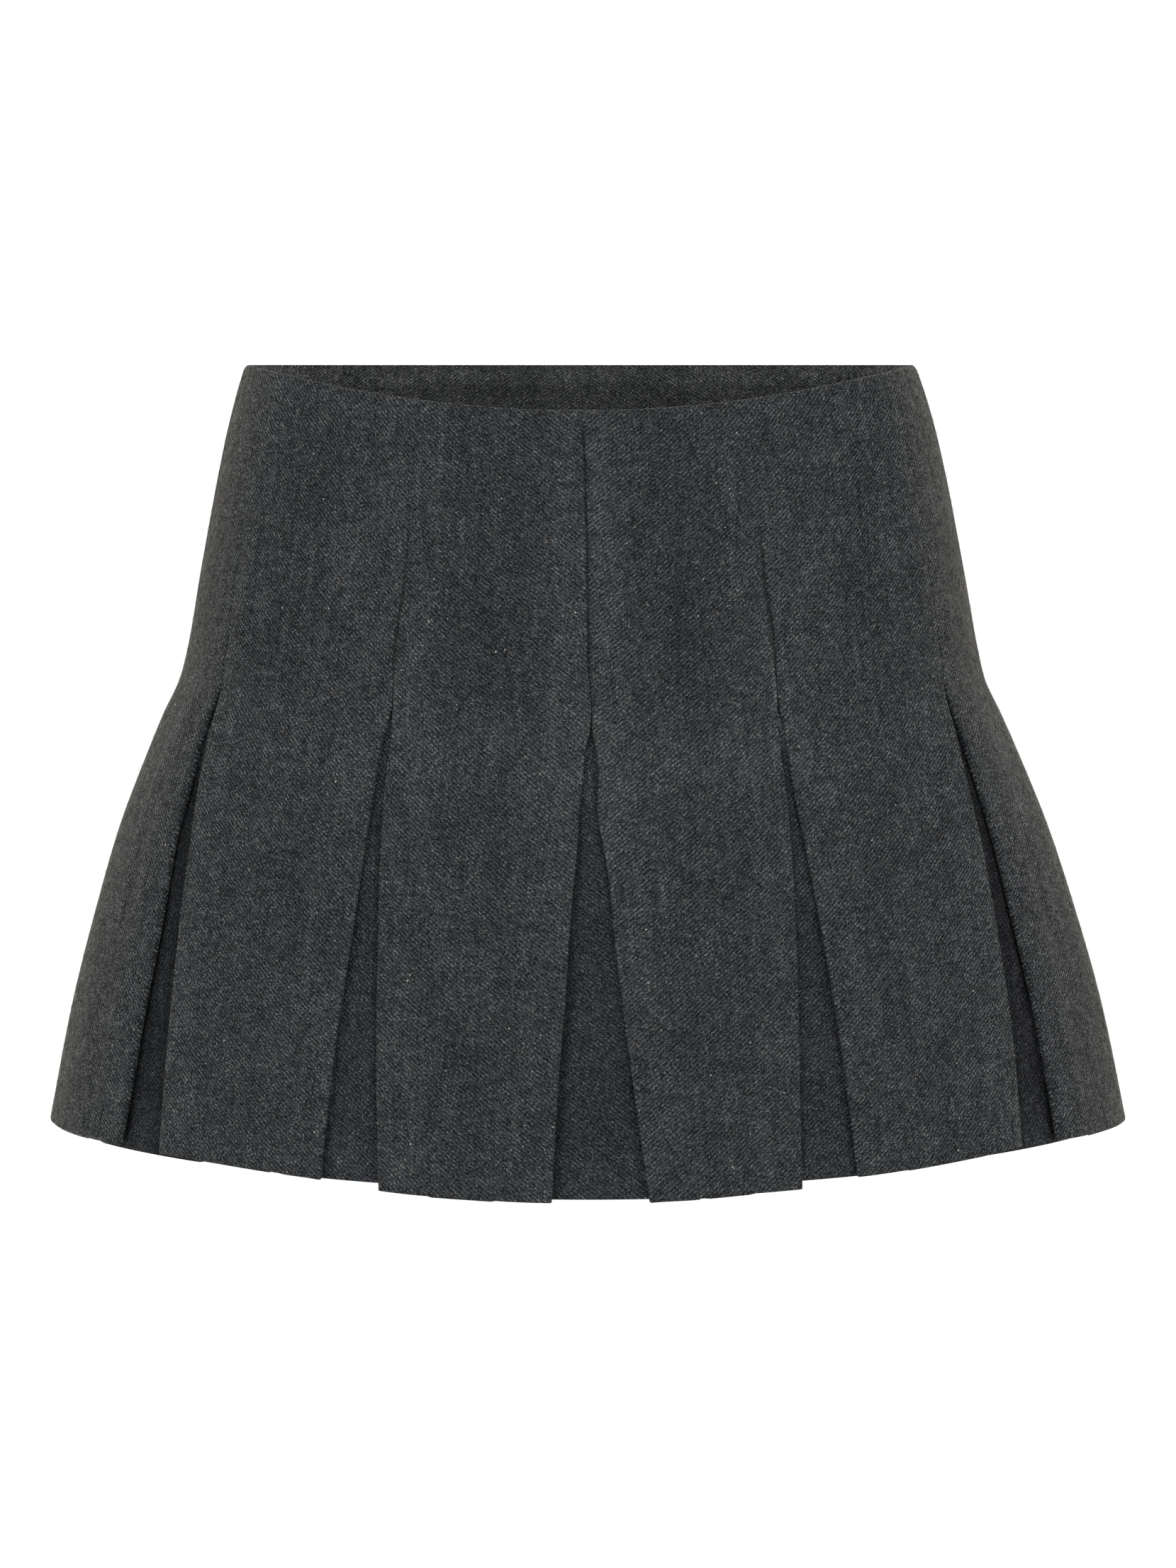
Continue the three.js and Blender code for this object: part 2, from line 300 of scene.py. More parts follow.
def fold_angle_at(pleat, share):
    """How far the panel's edge is turned: a small roll at the seam, then a full fold."""
    roll = math.radians(pleat["roll"]) * blend(TOP_ROLL, 1, smooth_step(share, 0, SEAM_EASE))
    return blend(roll, FULL_FOLD, smooth_step(share, ROLL_START, RETURN_TOP))


# ---------------------------------------------------------------------------------------------
# Settings that a user would change
# ---------------------------------------------------------------------------------------------

def linear(hex_colour):
    """An sRGB hex colour as linear red, green and blue."""
    def channel(value):
        value /= 255
        return value / 12.92 if value <= 0.04045 else ((value + 0.055) / 1.055) ** 2.4

    return tuple(channel(int(hex_colour[i:i + 2], 16)) for i in (1, 3, 5))


def colour_property(name, hex_colour, description):
    return FloatVectorProperty(
        name=name, description=description, subtype="COLOR", size=3, min=0, max=1,
        default=linear(hex_colour),
    )


def length_property(name, millimetres, description):
    return FloatProperty(
        name=name, description=description, subtype="DISTANCE", unit="LENGTH",
        default=millimetres * MM, min=0, precision=5,
    )


def angle_property(name, degrees, description):
    return FloatProperty(
        name=name, description=description, subtype="ANGLE", default=math.radians(degrees),
    )


def density_property(name, density, description):
    return FloatProperty(name=name, description=description, default=density, min=0)


class SkirtClothSizes(PropertyGroup):
    """How thick the cloth is and how it is folded."""

    thickness: length_property("Thickness", 1.0, "One layer of the brushed twill")
    fold_air: length_property("Fold air", 0.2, "Space between a panel and its turned edge")
    return_depth: length_property("Return depth", 22, "How far a turned edge reaches behind")
    return_ease: length_property("Return ease", 0.3, "How far it stands off below the release")
    return_splay: length_property("Return splay", 1.5, "How much further it stands off at the hem")
    hem_depth: length_property("Hem depth", 30, "How far the hem is turned up inside")
    hem_layer: length_property("Hem layer", 0.9, "What the turned hem adds inside")
    waist_depth: length_property("Waist turning", 11, "How far the waist edge is turned in")
    waist_layer: length_property("Waist layer", 0.8, "What the turned waist edge adds inside")
    stitch_length: length_property("Stitch", 2.3, "One stitch that shows")
    stitch_pitch: length_property("Stitch pitch", 3.0, "From one stitch to the next")
    thread_radius: length_property("Thread radius", 0.16, "Half the thickness of the thread")


class SkirtClothColours(PropertyGroup):
    """The wools that are mixed in the yarn."""

    dark: colour_property("Dark wool", "#0a0c0e", "The darkest fibres")
    middle: colour_property("Middle wool", "#282a2d", "Most fibres")
    pale: colour_property("Pale wool", "#454748", "Undyed grey fibres")
    palest: colour_property("Palest wool", "#707172", "The tips of undyed fibres")
    fleck: colour_property("Fleck", "#b9b9b3", "Pale neps caught in the yarn")
    warm: colour_property("Warm wool", "#fffcfd", "Tint where warm wool gathers")
    cool: colour_property("Cool wool", "#fafffc", "Tint where cool wool gathers")
    loose: colour_property("Loose fibre", "#8e8878", "Fibre ends that stand out from the cloth")
    nap: colour_property("Nap", "#d9cdb6", "Light on the brushed fibre ends")
    thread: colour_property("Thread", "#222427", "Sewing thread")
    floor: colour_property("Floor", "#f4f4f2", "Studio floor")


class SkirtTwillSizes(PropertyGroup):
    """The weave, and what stands out of it."""

    rib: length_property("Rib", 1.53, "From one twill rib to the next")
    rise: angle_property("Rise", 38, "Slope of the twill ribs across the panel")
    float_length: length_property("Float", 0.79, "From one yarn float to the next on a rib")
    fibre: length_property("Fibre", 0.36, "Width of a tuft of mixed fibres")
    fibre_density: density_property("Fibre density", 30000, "Loose fibres on a square metre")
    fibre_length: length_property("Fibre length", 2.0, "A usual loose fibre end")
    fibre_radius: length_property("Fibre radius", 0.04, "Half the thickness of a loose fibre end")
    nep_density: density_property("Nep density", 1500, "Pale neps on a square metre")
    large_nep_density: density_property("Large nep density", 300, "Large neps on a square metre")
    nep_radius: length_property("Nep radius", 0.22, "Half the width of a usual nep")
    seed: IntProperty(name="Seed", description="Start of every random choice", default=11)


class SkirtStageSizes(PropertyGroup):
    """The camera and the floor."""

    distance: length_property("Camera distance", 2000, "From the skirt's axis")
    sideways: length_property("Camera offset", 3.5, "To the wearer's left")
    pitch: angle_property("Camera pitch", 5.361, "How far the camera looks down")
    lens: FloatProperty(
        name="Lens", description="Focal length on a 36 mm high sensor", subtype="NONE",
        default=102.68,
    )
    floor_drop: length_property("Floor drop", 980, "From the waist to the floor")


def settings():
    scene = bpy.context.scene
    return scene.skirt_cloth, scene.skirt_colours, scene.skirt_twill, scene.skirt_stage


def cloth_in_mm():
    """The cloth's sizes in millimetres, by name."""
    cloth = settings()[0]
    return SimpleNamespace(**{name: getattr(cloth, name) / MM for name in own_names(cloth)})


def own_names(group):
    return [name for name in group.bl_rna.properties.keys() if name not in ("rna_type", "name")]


# ---------------------------------------------------------------------------------------------
# Cloth walls
# ---------------------------------------------------------------------------------------------

RIM_STEPS = 4
# Painted shade on the waist edge's and the hem's rims, most where a rim faces up or down.
RIM_PAINTED_SHADE = 0.6
# A cell's sides: where each starts and ends, and the neighbour beyond it, as rows and columns.
CELL_SIDES = (
    ((0, 0), (1, 0), (0, -1)),
    ((1, 0), (1, 1), (1, 0)),
    ((1, 1), (0, 1), (0, 1)),
    ((0, 1), (0, 0), (-1, 0)),
)


def make_wall(name, middle, normal, half, present, uv, marks, inside_painted_light):
    """A closed wall of cloth from a grid.

    middle and normal are (rows, columns, 3) arrays in millimetres, half is the distance from the
    middle to the outer and inner faces, present marks the cells that are there, uv is the place
    in the flat cloth and marks are the named values that the material reads at each point.
    The last argument is painted light on the inner face: its brightness beside the outer one.
    """
    rows, columns = present.shape
    half_out, half_in = half
    outer = middle + normal * half_out[..., None]
    inner = middle - normal * half_in[..., None]

    used = np.zeros((rows + 1, columns + 1), bool)
    for down in (0, 1):
        for across in (0, 1):
            used[down:rows + down, across:columns + across] |= present
    numbers = np.full(used.shape, -1)
    numbers[used] = np.arange(used.sum())
    count = int(used.sum())

    points = [outer[used], inner[used]]
    uvs = [uv[used], uv[used]]
    marks = {key: np.broadcast_to(values, used.shape) for key, values in marks.items()}
    marks["wrong_side"] = np.zeros(used.shape)
    marked = {key: [values[used], values[used]] for key, values in marks.items()}
    marked["wrong_side"][1] = np.ones(count)
    # The inner face gets the outer face's painted light and shade, and the inside's painted light.
    marked["shade"][1] = marked["shade"][1] * inside_painted_light[used]

    face = quads(numbers, present)
    faces = [face, face[:, [0, 3, 2, 1]] + count]

    # The border: every cell edge with no neighbour gets a rounded rim.
    padded = np.pad(present, 1)
    edges, away = [], {}
    for start, end, (down, across) in CELL_SIDES:
        neighbour = padded[1 + down:rows + 1 + down, 1 + across:columns + 1 + across]
        for row, column in zip(*np.nonzero(present & ~neighbour)):
            a = (row + start[0], column + start[1])
            b = (row + end[0], column + end[1])
            edges.append((a, b))
            for place in (a, b):
                inside = (place[0] - down, place[1] - across)
                way = (middle[place] - middle[inside], uv[place] - uv[inside])
                away.setdefault(place, []).append(way)

    rim_of = {}
    rim_points, rim_uvs, rim_marks = [], [], {key: [] for key in marks}
    for place, directions in away.items():
        out = sum(way / np.linalg.norm(way) for way, _ in directions)
        flat_out = sum(way / np.linalg.norm(way) for _, way in directions) / len(directions)
        facing = normal[place]
        out = out - facing * np.dot(out, facing)
        out /= max(np.linalg.norm(out), SLACK)
        thick = (half_out[place] + half_in[place]) / 2
        centre = middle[place] + facing * (half_out[place] - thick)
        rim_of[place] = 2 * count + len(rim_points)
        for step in range(1, RIM_STEPS):
            share = step / RIM_STEPS
            turn = math.pi * share
            rim_points.append(centre + thick * (math.cos(turn) * facing + math.sin(turn) * out))
            rim_uvs.append(uv[place] + flat_out * thick * min(turn, math.pi - turn))
            for key, values in marks.items():
                rim_marks[key].append(values[place])
            rim_marks["wrong_side"][-1] = share
            # Painted light of the inside across the rim; painted shade where it faces up or down.
            rim_marks["shade"][-1] *= blend(1, inside_painted_light[place], share)
            rim_marks["shade"][-1] *= blend(1, RIM_PAINTED_SHADE, abs(out[2]))
    points.append(np.array(rim_points))
    uvs.append(np.array(rim_uvs))
    for key, values in rim_marks.items():
        marked[key].append(np.array(values))

    def strand(place):
        first = rim_of[place]
        return [numbers[place], *range(first, first + RIM_STEPS - 1), numbers[place] + count]

    rim_faces = []
    for a, b in edges:
        chain_a, chain_b = strand(a), strand(b)
        for step in range(RIM_STEPS):
            rim_faces.append((chain_b[step], chain_a[step], chain_a[step + 1], chain_b[step + 1]))
    faces.append(np.array(rim_faces))

    return mesh_object(name, np.concatenate(points) * MM, np.concatenate(faces),
                       np.concatenate(uvs) * MM,
                       {key: np.concatenate(parts) for key, parts in marked.items()})


def quads(numbers, present):
    """The faces of the cells that are there, whose corners have these numbers."""
    r, c = np.nonzero(present)
    corners = ((r, c), (r + 1, c), (r + 1, c + 1), (r, c + 1))
    return np.stack([numbers[corner] for corner in corners], 1)


def mesh_object(name, points, faces, uvs=None, marks=None):
    """A smooth shaded mesh at the origin, with its flat cloth as a UV map and named marks."""
    mesh = bpy.data.meshes.new(name)
    mesh.from_pydata(points.tolist(), [], faces.tolist())
    mesh.polygons.foreach_set("use_smooth", np.ones(len(mesh.polygons), bool))
    if uvs is not None:
        corners = np.zeros(len(mesh.loops), int)
        mesh.loops.foreach_get("vertex_index", corners)
        layer = mesh.uv_layers.new(name="flat_cloth")
        layer.data.foreach_set("uv", uvs[corners].ravel())
    for key, values in (marks or {}).items():
        layer = mesh.attributes.new(key, "FLOAT", "POINT")
        layer.data.foreach_set("value", values.astype(float))
    mesh.validate()
    mesh.update()
    return in_scene(name, mesh)


def in_scene(name, data):
    """A new object in the scene, at the origin."""
    piece = bpy.data.objects.new(name, data)
    bpy.context.scene.collection.objects.link(piece)
    return piece


def arc_lengths(points, axis):
    """Distances walked along a grid of points, down (axis 0) or across (axis 1)."""
    steps = np.linalg.norm(np.diff(points, axis=axis), axis=-1)
    start = np.zeros_like(np.take(steps, [0], axis=axis))
    return np.concatenate([start, np.cumsum(steps, axis=axis)], axis=axis)


def row_shares(top):
    """Shares of the length at which the grid has its rows, from top down."""
    steps, reach, power = TOP_ROWS
    first = TOP_TRIM / LENGTH
    shares = list(first + (reach - first) * np.linspace(0, 1, steps + 1) ** power)
    for low, high, steps in ROWS:
        shares += list(np.linspace(low, high, steps + 1)[1:])
    shares = np.clip(shares, first, 1 - HEM_TRIM / LENGTH)
    shares[np.argmin(abs(shares - RETURN_TOP))] = RETURN_TOP
    return shares[shares >= top - SLACK]


# ---------------------------------------------------------------------------------------------
# Creases and nap: what pressing and brushing leave in the cloth
# ---------------------------------------------------------------------------------------------

# Each crease runs on panels of one kind from one place to another. Places are across, -1 at the
# edge away from the centre seam and 1 at the edge towards it, and down, the share of the length.
# wide and high are in millimetres, and a high below 0 is a trough.
CREASES = table_of(
    ("panel", "across_a", "down_a", "across_b", "down_b", "wide", "high"),
    ("inner", -0.42, 0.03, -0.55, 0.18, 2.6, 0.22),
    ("inner", -0.66, 0.1, -0.62, 0.24, 2.4, 0.14),
    ("inner", 0.3, 0.42, 0.62, 0.62, 7.0, -0.35),
    ("inner", -0.5, 0.5, -0.62, 0.82, 6.0, 0.3),
    ("inner", 0.1, 0.6, 0.0, 0.97, 9.0, -0.4),
    ("middle", 0.35, 0.12, 0.55, 0.3, 6.0, 0.25),
    ("middle", -0.2, 0.46, -0.35, 0.8, 8.0, -0.4),
    ("middle", 0.45, 0.5, 0.5, 0.9, 7.0, 0.3),
    ("side", -0.35, 0.44, -0.4, 0.85, 7.0, 0.35),
    ("side", 0.3, 0.5, 0.36, 0.95, 8.0, -0.35),
    ("side", 0.3, 0.4, 0.18, 0.76, 4.5, 0.4),
)

# Soft patches where the brushed nap lies lighter (above 0) or darker (below 0), placed as the
# creases are. wide and tall are in millimetres.
NAP = table_of(
    ("panel", "across", "down", "wide", "tall", "nap"),
    ("inner", 0.05, 0.13, 17, 48, -0.18),
    ("inner", 0.0, 0.3, 17, 34, -0.24),
    ("inner", 0.88, 0.2, 10, 80, 0.3),
    ("inner", -0.9, 0.33, 10, 40, 0.2),
    ("inner", 0.45, 0.455, 30, 16, 0.3),
    ("inner", -0.6, 0.45, 24, 16, 0.25),
    ("inner", 0.9, 0.54, 9, 52, 0.25),
    ("inner", 0.2, 0.8, 16, 60, -0.06),
    ("inner", -0.7, 0.09, 1.2, 24, 0.4),
    ("inner", -0.95, 0.39, 1.2, 14, 0.4),
    ("middle", -0.1, 0.16, 22, 36, -0.2),
    ("middle", -0.2, 0.33, 20, 26, -0.28),
    ("middle", 0.5, 0.22, 14, 26, 0.35),
    ("middle", 0.1, 0.46, 34, 15, 0.2),
    ("middle", 0.8, 0.46, 13, 22, 0.2),
    ("middle", -0.9, 0.75, 8, 80, 0.15),
    ("middle", 0.3, 0.6, 12, 40, -0.15),
    ("side", 0.4, 0.25, 18, 50, -0.25),
    ("side", -0.2, 0.5, 20, 40, 0.25),
    ("side", 0.26, 0.47, 4.5, 26, 0.5),
    ("side", 0.19, 0.63, 4, 34, 0.45),
)

# How much higher a panel's hem lies at its middle than at its sides, in millimetres.
HEM_BOW = {"front_right_middle": 1.2, "front_left_inner": 0.7, "back_left_inner": 0.8,
           "back_right_side": 0.9}
# A painted highlight on the lower front edges of the middle panels beside the outer pleats, and
# painted shade on the side panels' edges there: on which side of the panel the edge lies, how much
# paler it is painted (below 0 darker) and how far in that reaches, in millimetres. It comes in
# between two shares of the length.
EDGE_PAINTED_LIGHT_AND_SHADE = {
    "front_left_middle": (1, 1.0, 1.6),
    "front_right_middle": (-1, 1.0, 1.6),
    "front_left_side": (-1, -0.6, 3.0),
    "front_right_side": (1, -0.6, 3.0),
}
EDGE_PAINTED_LIGHT_AND_SHADE_STARTS = (0.41, 0.46)
# Slow waves across a hanging panel: how many, the turns of the first and what each next one adds,
# how far those and their drift down the panel vary, how high they are, in millimetres, and how much
# more they sink than they swell.
WAVES = 3
WAVE_TURNS = (0.5, 0.6, 0.15)
WAVE_DRIFT = 0.8
SWELL = 0.5
SWELL_RANGE = (0.6, 1.2)
SINK_SHARE = 0.8
SWELL_STARTS = 0.42
# Pressing over the layers behind a panel's edges: how far the free cloth sinks beside them in
# millimetres, how much paler their nap lies, how wide the band is above the folds, the shares of
# the length where it widens and how soft its edge is.
PRESS_HEIGHT = 0.4
PRESS_NAP = 0.14
PRESS_WIDTH = 13
PRESS_WIDENS = (0.28, 0.45)
PRESS_EDGE = 3
# How much creases and patches of nap vary from panel to panel, and how a crease fades at its ends.
CREASE_RANGE = (0.75, 1.25)
NAP_RANGE = (0.85, 1.15)
CREASE_ENDS = (-0.08, 0.2)


def soft_line(x, y, a, b, wide):
    """1 on the line from a to b, fading to nothing beside it and at its ends."""
    run = np.array([b[0] - a[0], b[1] - a[1]])
    length = np.hypot(*run)
    along = ((x - a[0]) * run[0] + (y - a[1]) * run[1]) / length ** 2
    beside = abs((x - a[0]) * run[1] - (y - a[1]) * run[0]) / length
    outside, inside = CREASE_ENDS
    ends = smooth_step(along, outside, inside) * smooth_step(1 - along, outside, inside)
    return np.exp(-(beside / wide) ** 2) * ends


def flat_half(x, cloth):
    """Half the width of each row of a panel, without its turned edges."""
    return np.max(abs(x), axis=1, keepdims=True) - cloth.return_depth


def pressed_band(x, share, cloth):
    """1 over the layers that lie behind a panel's edges, 0 where the panel hangs free."""
    wide = blend(PRESS_WIDTH, cloth.return_depth, smooth_step(share, *PRESS_WIDENS))
    return smooth_step(flat_half(x, cloth) - abs(x), wide + PRESS_EDGE, wide - PRESS_EDGE)


def hang_and_nap(name, x, y, share, cloth, seed):
    """How far a panel stands out of its plain form in millimetres, and how its nap lies.

    x and y are the place in the flat cloth in millimetres, from the panel's middle and its top.
    """
    random = np.random.default_rng(seed)
    kind = name.split("_")[-1]
    # x grows away from the centre front on one half of the skirt and towards it on the other.
    towards = 1 if name.startswith(("front_right", "back_left")) else -1
    half = flat_half(x, cloth)
    across = np.clip(towards * x / half, -1, 1)
    length = np.max(y)
    relief = np.zeros_like(x)
    first, more, vary = WAVE_TURNS
    for wave in range(WAVES):
        turns = first + more * wave + random.uniform(-vary, vary)
        phase = random.uniform(0, 2 * math.pi) + random.uniform(-WAVE_DRIFT, WAVE_DRIFT) * share
        swell = SWELL * random.uniform(*SWELL_RANGE) / (1 + wave)
        relief += swell * (np.sin(math.pi * turns * across + phase) - SINK_SHARE)
    relief *= smooth_step(share, SWELL_STARTS, 1.0) * (1 - across ** 2)

    band = pressed_band(x, share, cloth)
    relief += PRESS_HEIGHT * (band - 1)
    nap = PRESS_NAP * band
    # Painted highlight, or painted shade below 0, along the edges beside the outer pleats.
    if name in EDGE_PAINTED_LIGHT_AND_SHADE:
        side, strength, wide = EDGE_PAINTED_LIGHT_AND_SHADE[name]
        inwards = (half - side * x) / wide
        nap += strength * np.exp(-inwards ** 2) * smooth_step(share, *EDGE_PAINTED_LIGHT_AND_SHADE_STARTS)
    free = 1 - across ** 6
    for crease in CREASES:
        if crease["panel"] == kind:
            middle = np.mean(half)
            start = (crease["across_a"] * middle, crease["down_a"] * length)
            end = (crease["across_b"] * middle, crease["down_b"] * length)
            height = crease["high"] * random.uniform(*CREASE_RANGE)
            relief += height * free * soft_line(towards * x, y, start, end, crease["wide"])
    for patch in NAP:
        if patch["panel"] == kind:
            beside = (across - patch["across"]) * half / patch["wide"]
            below = (y - patch["down"] * length) / patch["tall"]
            strength = patch["nap"] * random.uniform(*NAP_RANGE)
            nap += strength * np.exp(-beside ** 2 - below ** 2)
    return relief, nap


# ---------------------------------------------------------------------------------------------
# Panels and underlays
# ---------------------------------------------------------------------------------------------

# Cells across a panel, round one fold, across the return behind it and across an underlay.
PANEL_CELLS = 40
FOLD_CELLS = 8
RETURN_CELLS = 7
UNDERLAY_CELLS = 40
EDGE_CELLS = FOLD_CELLS + RETURN_CELLS

# Where a lip's pressing at the waist edge ends, and how far above and below the release the lips
# part, as shares of the length.
TOP_LIP_ENDS = (0.003, 0.012)
LIPS_PART = (-0.02, 0.01)
# How far above and below its first place a seam grows from hidden to a clear line.
SEAM_SHOWS = (-0.01, 0.06)

# Painted shade in a closed seam's groove: how dark it is, how far round the roll it starts at
# the waist and at the release, and the share of the length where that start begins to move.
SEAM_PAINTED_SHADE = 0.9
GROOVE_STARTS = (0.52, 0.25, 0.15)
# The groove's painted shade ends at the release, from so far above it to so far below it.
GROOVE_ENDS = (-0.005, 0.02)
# The painted shade along a pressed wool seam is uneven: how many spots it has, how dark they
# are, the shares of the length over which they grow even, and how dark the even painted groove
# is from the hip to the folds.
SEAM_SPOTS = 78
SPOT_RANGE = (0.15, 1)
SPOTS_END = (0.05, 0.3)
GROOVE_LEVEL = (0.5, 0.345)
# Below the release, light is painted behind the fold: how much, how far round the fold it
# starts and is full, and the shares of the length where it comes in. At the hem the folds are
# open to the light, so no painted light is added there.
FOLD_LIGHT = 4.0
FOLD_LIT = (1.05, 1.4)
LIGHT_STARTS = (0.43, 0.5)
LIGHT_ENDS = (0.97, 0.86)

# How a return's free edge stands off: the share of the length where its ease is whole, and the
# curve of its splay.
EASE_ENDS = 0.5
SPLAY_POWER = 1.5
# Light is painted on the wrong side of the cloth, which lies in shade inside the skirt, and
# more on the waist turning: its brightness below the turning and on it, and the depths between
# which it changes.
INSIDE_PAINTED_LIGHT = (1.5, 2.1)
INNER_CHANGES = (3, 14)
# Towards the hips the mix of fibres is drawn stronger and the cloth is darkened with painted
# shade: how much stronger the mix of fibres is there, and how much darker.
HIP_GRAIN = 0.4
HIP_PAINTED_SHADE = -0.14
# A turned edge thins out over so many millimetres to either side of its line, and the hem's
# turning stops so far from a panel's returns.
TURNING_EDGE = 0.7
HEM_CLEAR = (0.6, 2)
# The share of the length below which a hem's bow begins to lift the panel.
HEM_BOW_STARTS = 0.6
# The underlay's middle lies behind the panel, its fold's air and its return: how many layers of
# cloth deep, and how much further, in millimetres.
UNDERLAY_LAYERS = 2.5
UNDERLAY_AIR = 0.15


def edge_section(pleat, share, cloth):
    """The turn of a panel's edge, its radius and how far it reaches towards the pleat."""
    arc_length = FULL_FOLD * (cloth.thickness + cloth.fold_air) / 2
    turn = fold_angle_at(pleat, share)
    radius = arc_length / turn
    lip_press = blend(HIDDEN_LIP_PRESS, SEAM_LIP_PRESS, seam_shows(pleat, share))
    lip_press = blend(TOP_LIP_PRESS, lip_press, smooth_step(share, *TOP_LIP_ENDS))
    open_reach = radius * np.sin(turn) + cloth.thickness / 2 - lip_press
    closed = 1 - ramp_at(pleat["stitched"], share, LIPS_PART)
    full_reach = radius + cloth.thickness / 2 - lip_press * closed
    reach = np.where(turn > math.pi / 2, full_reach, open_reach)
    return turn, radius, reach


def seam_shows(pleat, share):
    """1 where the closed seam is a clear line, 0 where pressing and nap hide it."""
    return ramp_at(pleat["seam"], share, SEAM_SHOWS)


def seam_shade(pleat, step, share, seed):
    """Painted shade in a closed seam's groove, and painted light behind the fold below it."""
    random = np.random.default_rng(seed)
    knots = np.linspace(0, pleat["stitched"], SEAM_SPOTS)
    spots = np.interp(share, knots, random.uniform(*SPOT_RANGE, len(knots)))
    turn = fold_angle_at(pleat, share)
    close = step / FOLD_CELLS * turn / np.minimum(turn, math.pi / 2)
    at_waist, at_release, moves = GROOVE_STARTS
    starts = blend(at_waist, at_release, smooth_step(share, moves, pleat["stitched"]))
    released = ramp_at(pleat["stitched"], share, GROOVE_ENDS)
    deep = smooth_step(close, starts, 1) * (1 - released)
    lit = FOLD_LIGHT * smooth_step(close, *FOLD_LIT) * smooth_step(share, *LIGHT_STARTS)
    lit = lit * smooth_step(share, *LIGHT_ENDS)
    low, hip = GROOVE_LEVEL
    level = blend(low, 1, smooth_step(share, hip, RETURN_TOP))
    uneven = blend(spots, level, smooth_step(share, *SPOTS_END))
    return 1 - SEAM_PAINTED_SHADE * deep * uneven * seam_shows(pleat, share) + lit


def turned_edge(pleat, step, share, cloth):
    """Place and facing of a turned edge, step cells from the panel's last flat point."""
    turn, radius, reach = edge_section(pleat, share, cloth)
    angle = turn * np.minimum(step / FOLD_CELLS, 1)
    back = np.maximum(step - FOLD_CELLS, 0) / RETURN_CELLS
    along = radius * np.sin(angle) - back * (cloth.return_depth - reach)
    splay = return_splay_at(share, cloth)
    inset = cloth.thickness / 2 + radius * (1 - np.cos(angle)) + splay * back ** SPLAY_POWER
    return along, inset


def return_splay_at(share, cloth):
    """How far a return's free edge, and the underlay with it, stands off from the panel."""
    near = cloth.return_ease * smooth_step(share, RETURN_TOP, EASE_ENDS)
    return near + cloth.return_splay * smooth_step(share, RETURN_TOP, 1)


def grid_normals(points):
    """Outward normals of a grid whose rows run down and whose columns run towards +angle."""
    down = np.gradient(points, axis=0)
    across = np.gradient(points, axis=1)
    normal = np.cross(down, across)
    return normal / np.linalg.norm(normal, axis=-1, keepdims=True)


def walked_over(points, centre):
    """Distances walked across a grid from its centre column, and down along that column."""
    across = arc_lengths(points, 1)
    across = across - across[:, [centre]]
    return across, np.broadcast_to(arc_lengths(points, 0)[:, [centre]], across.shape)


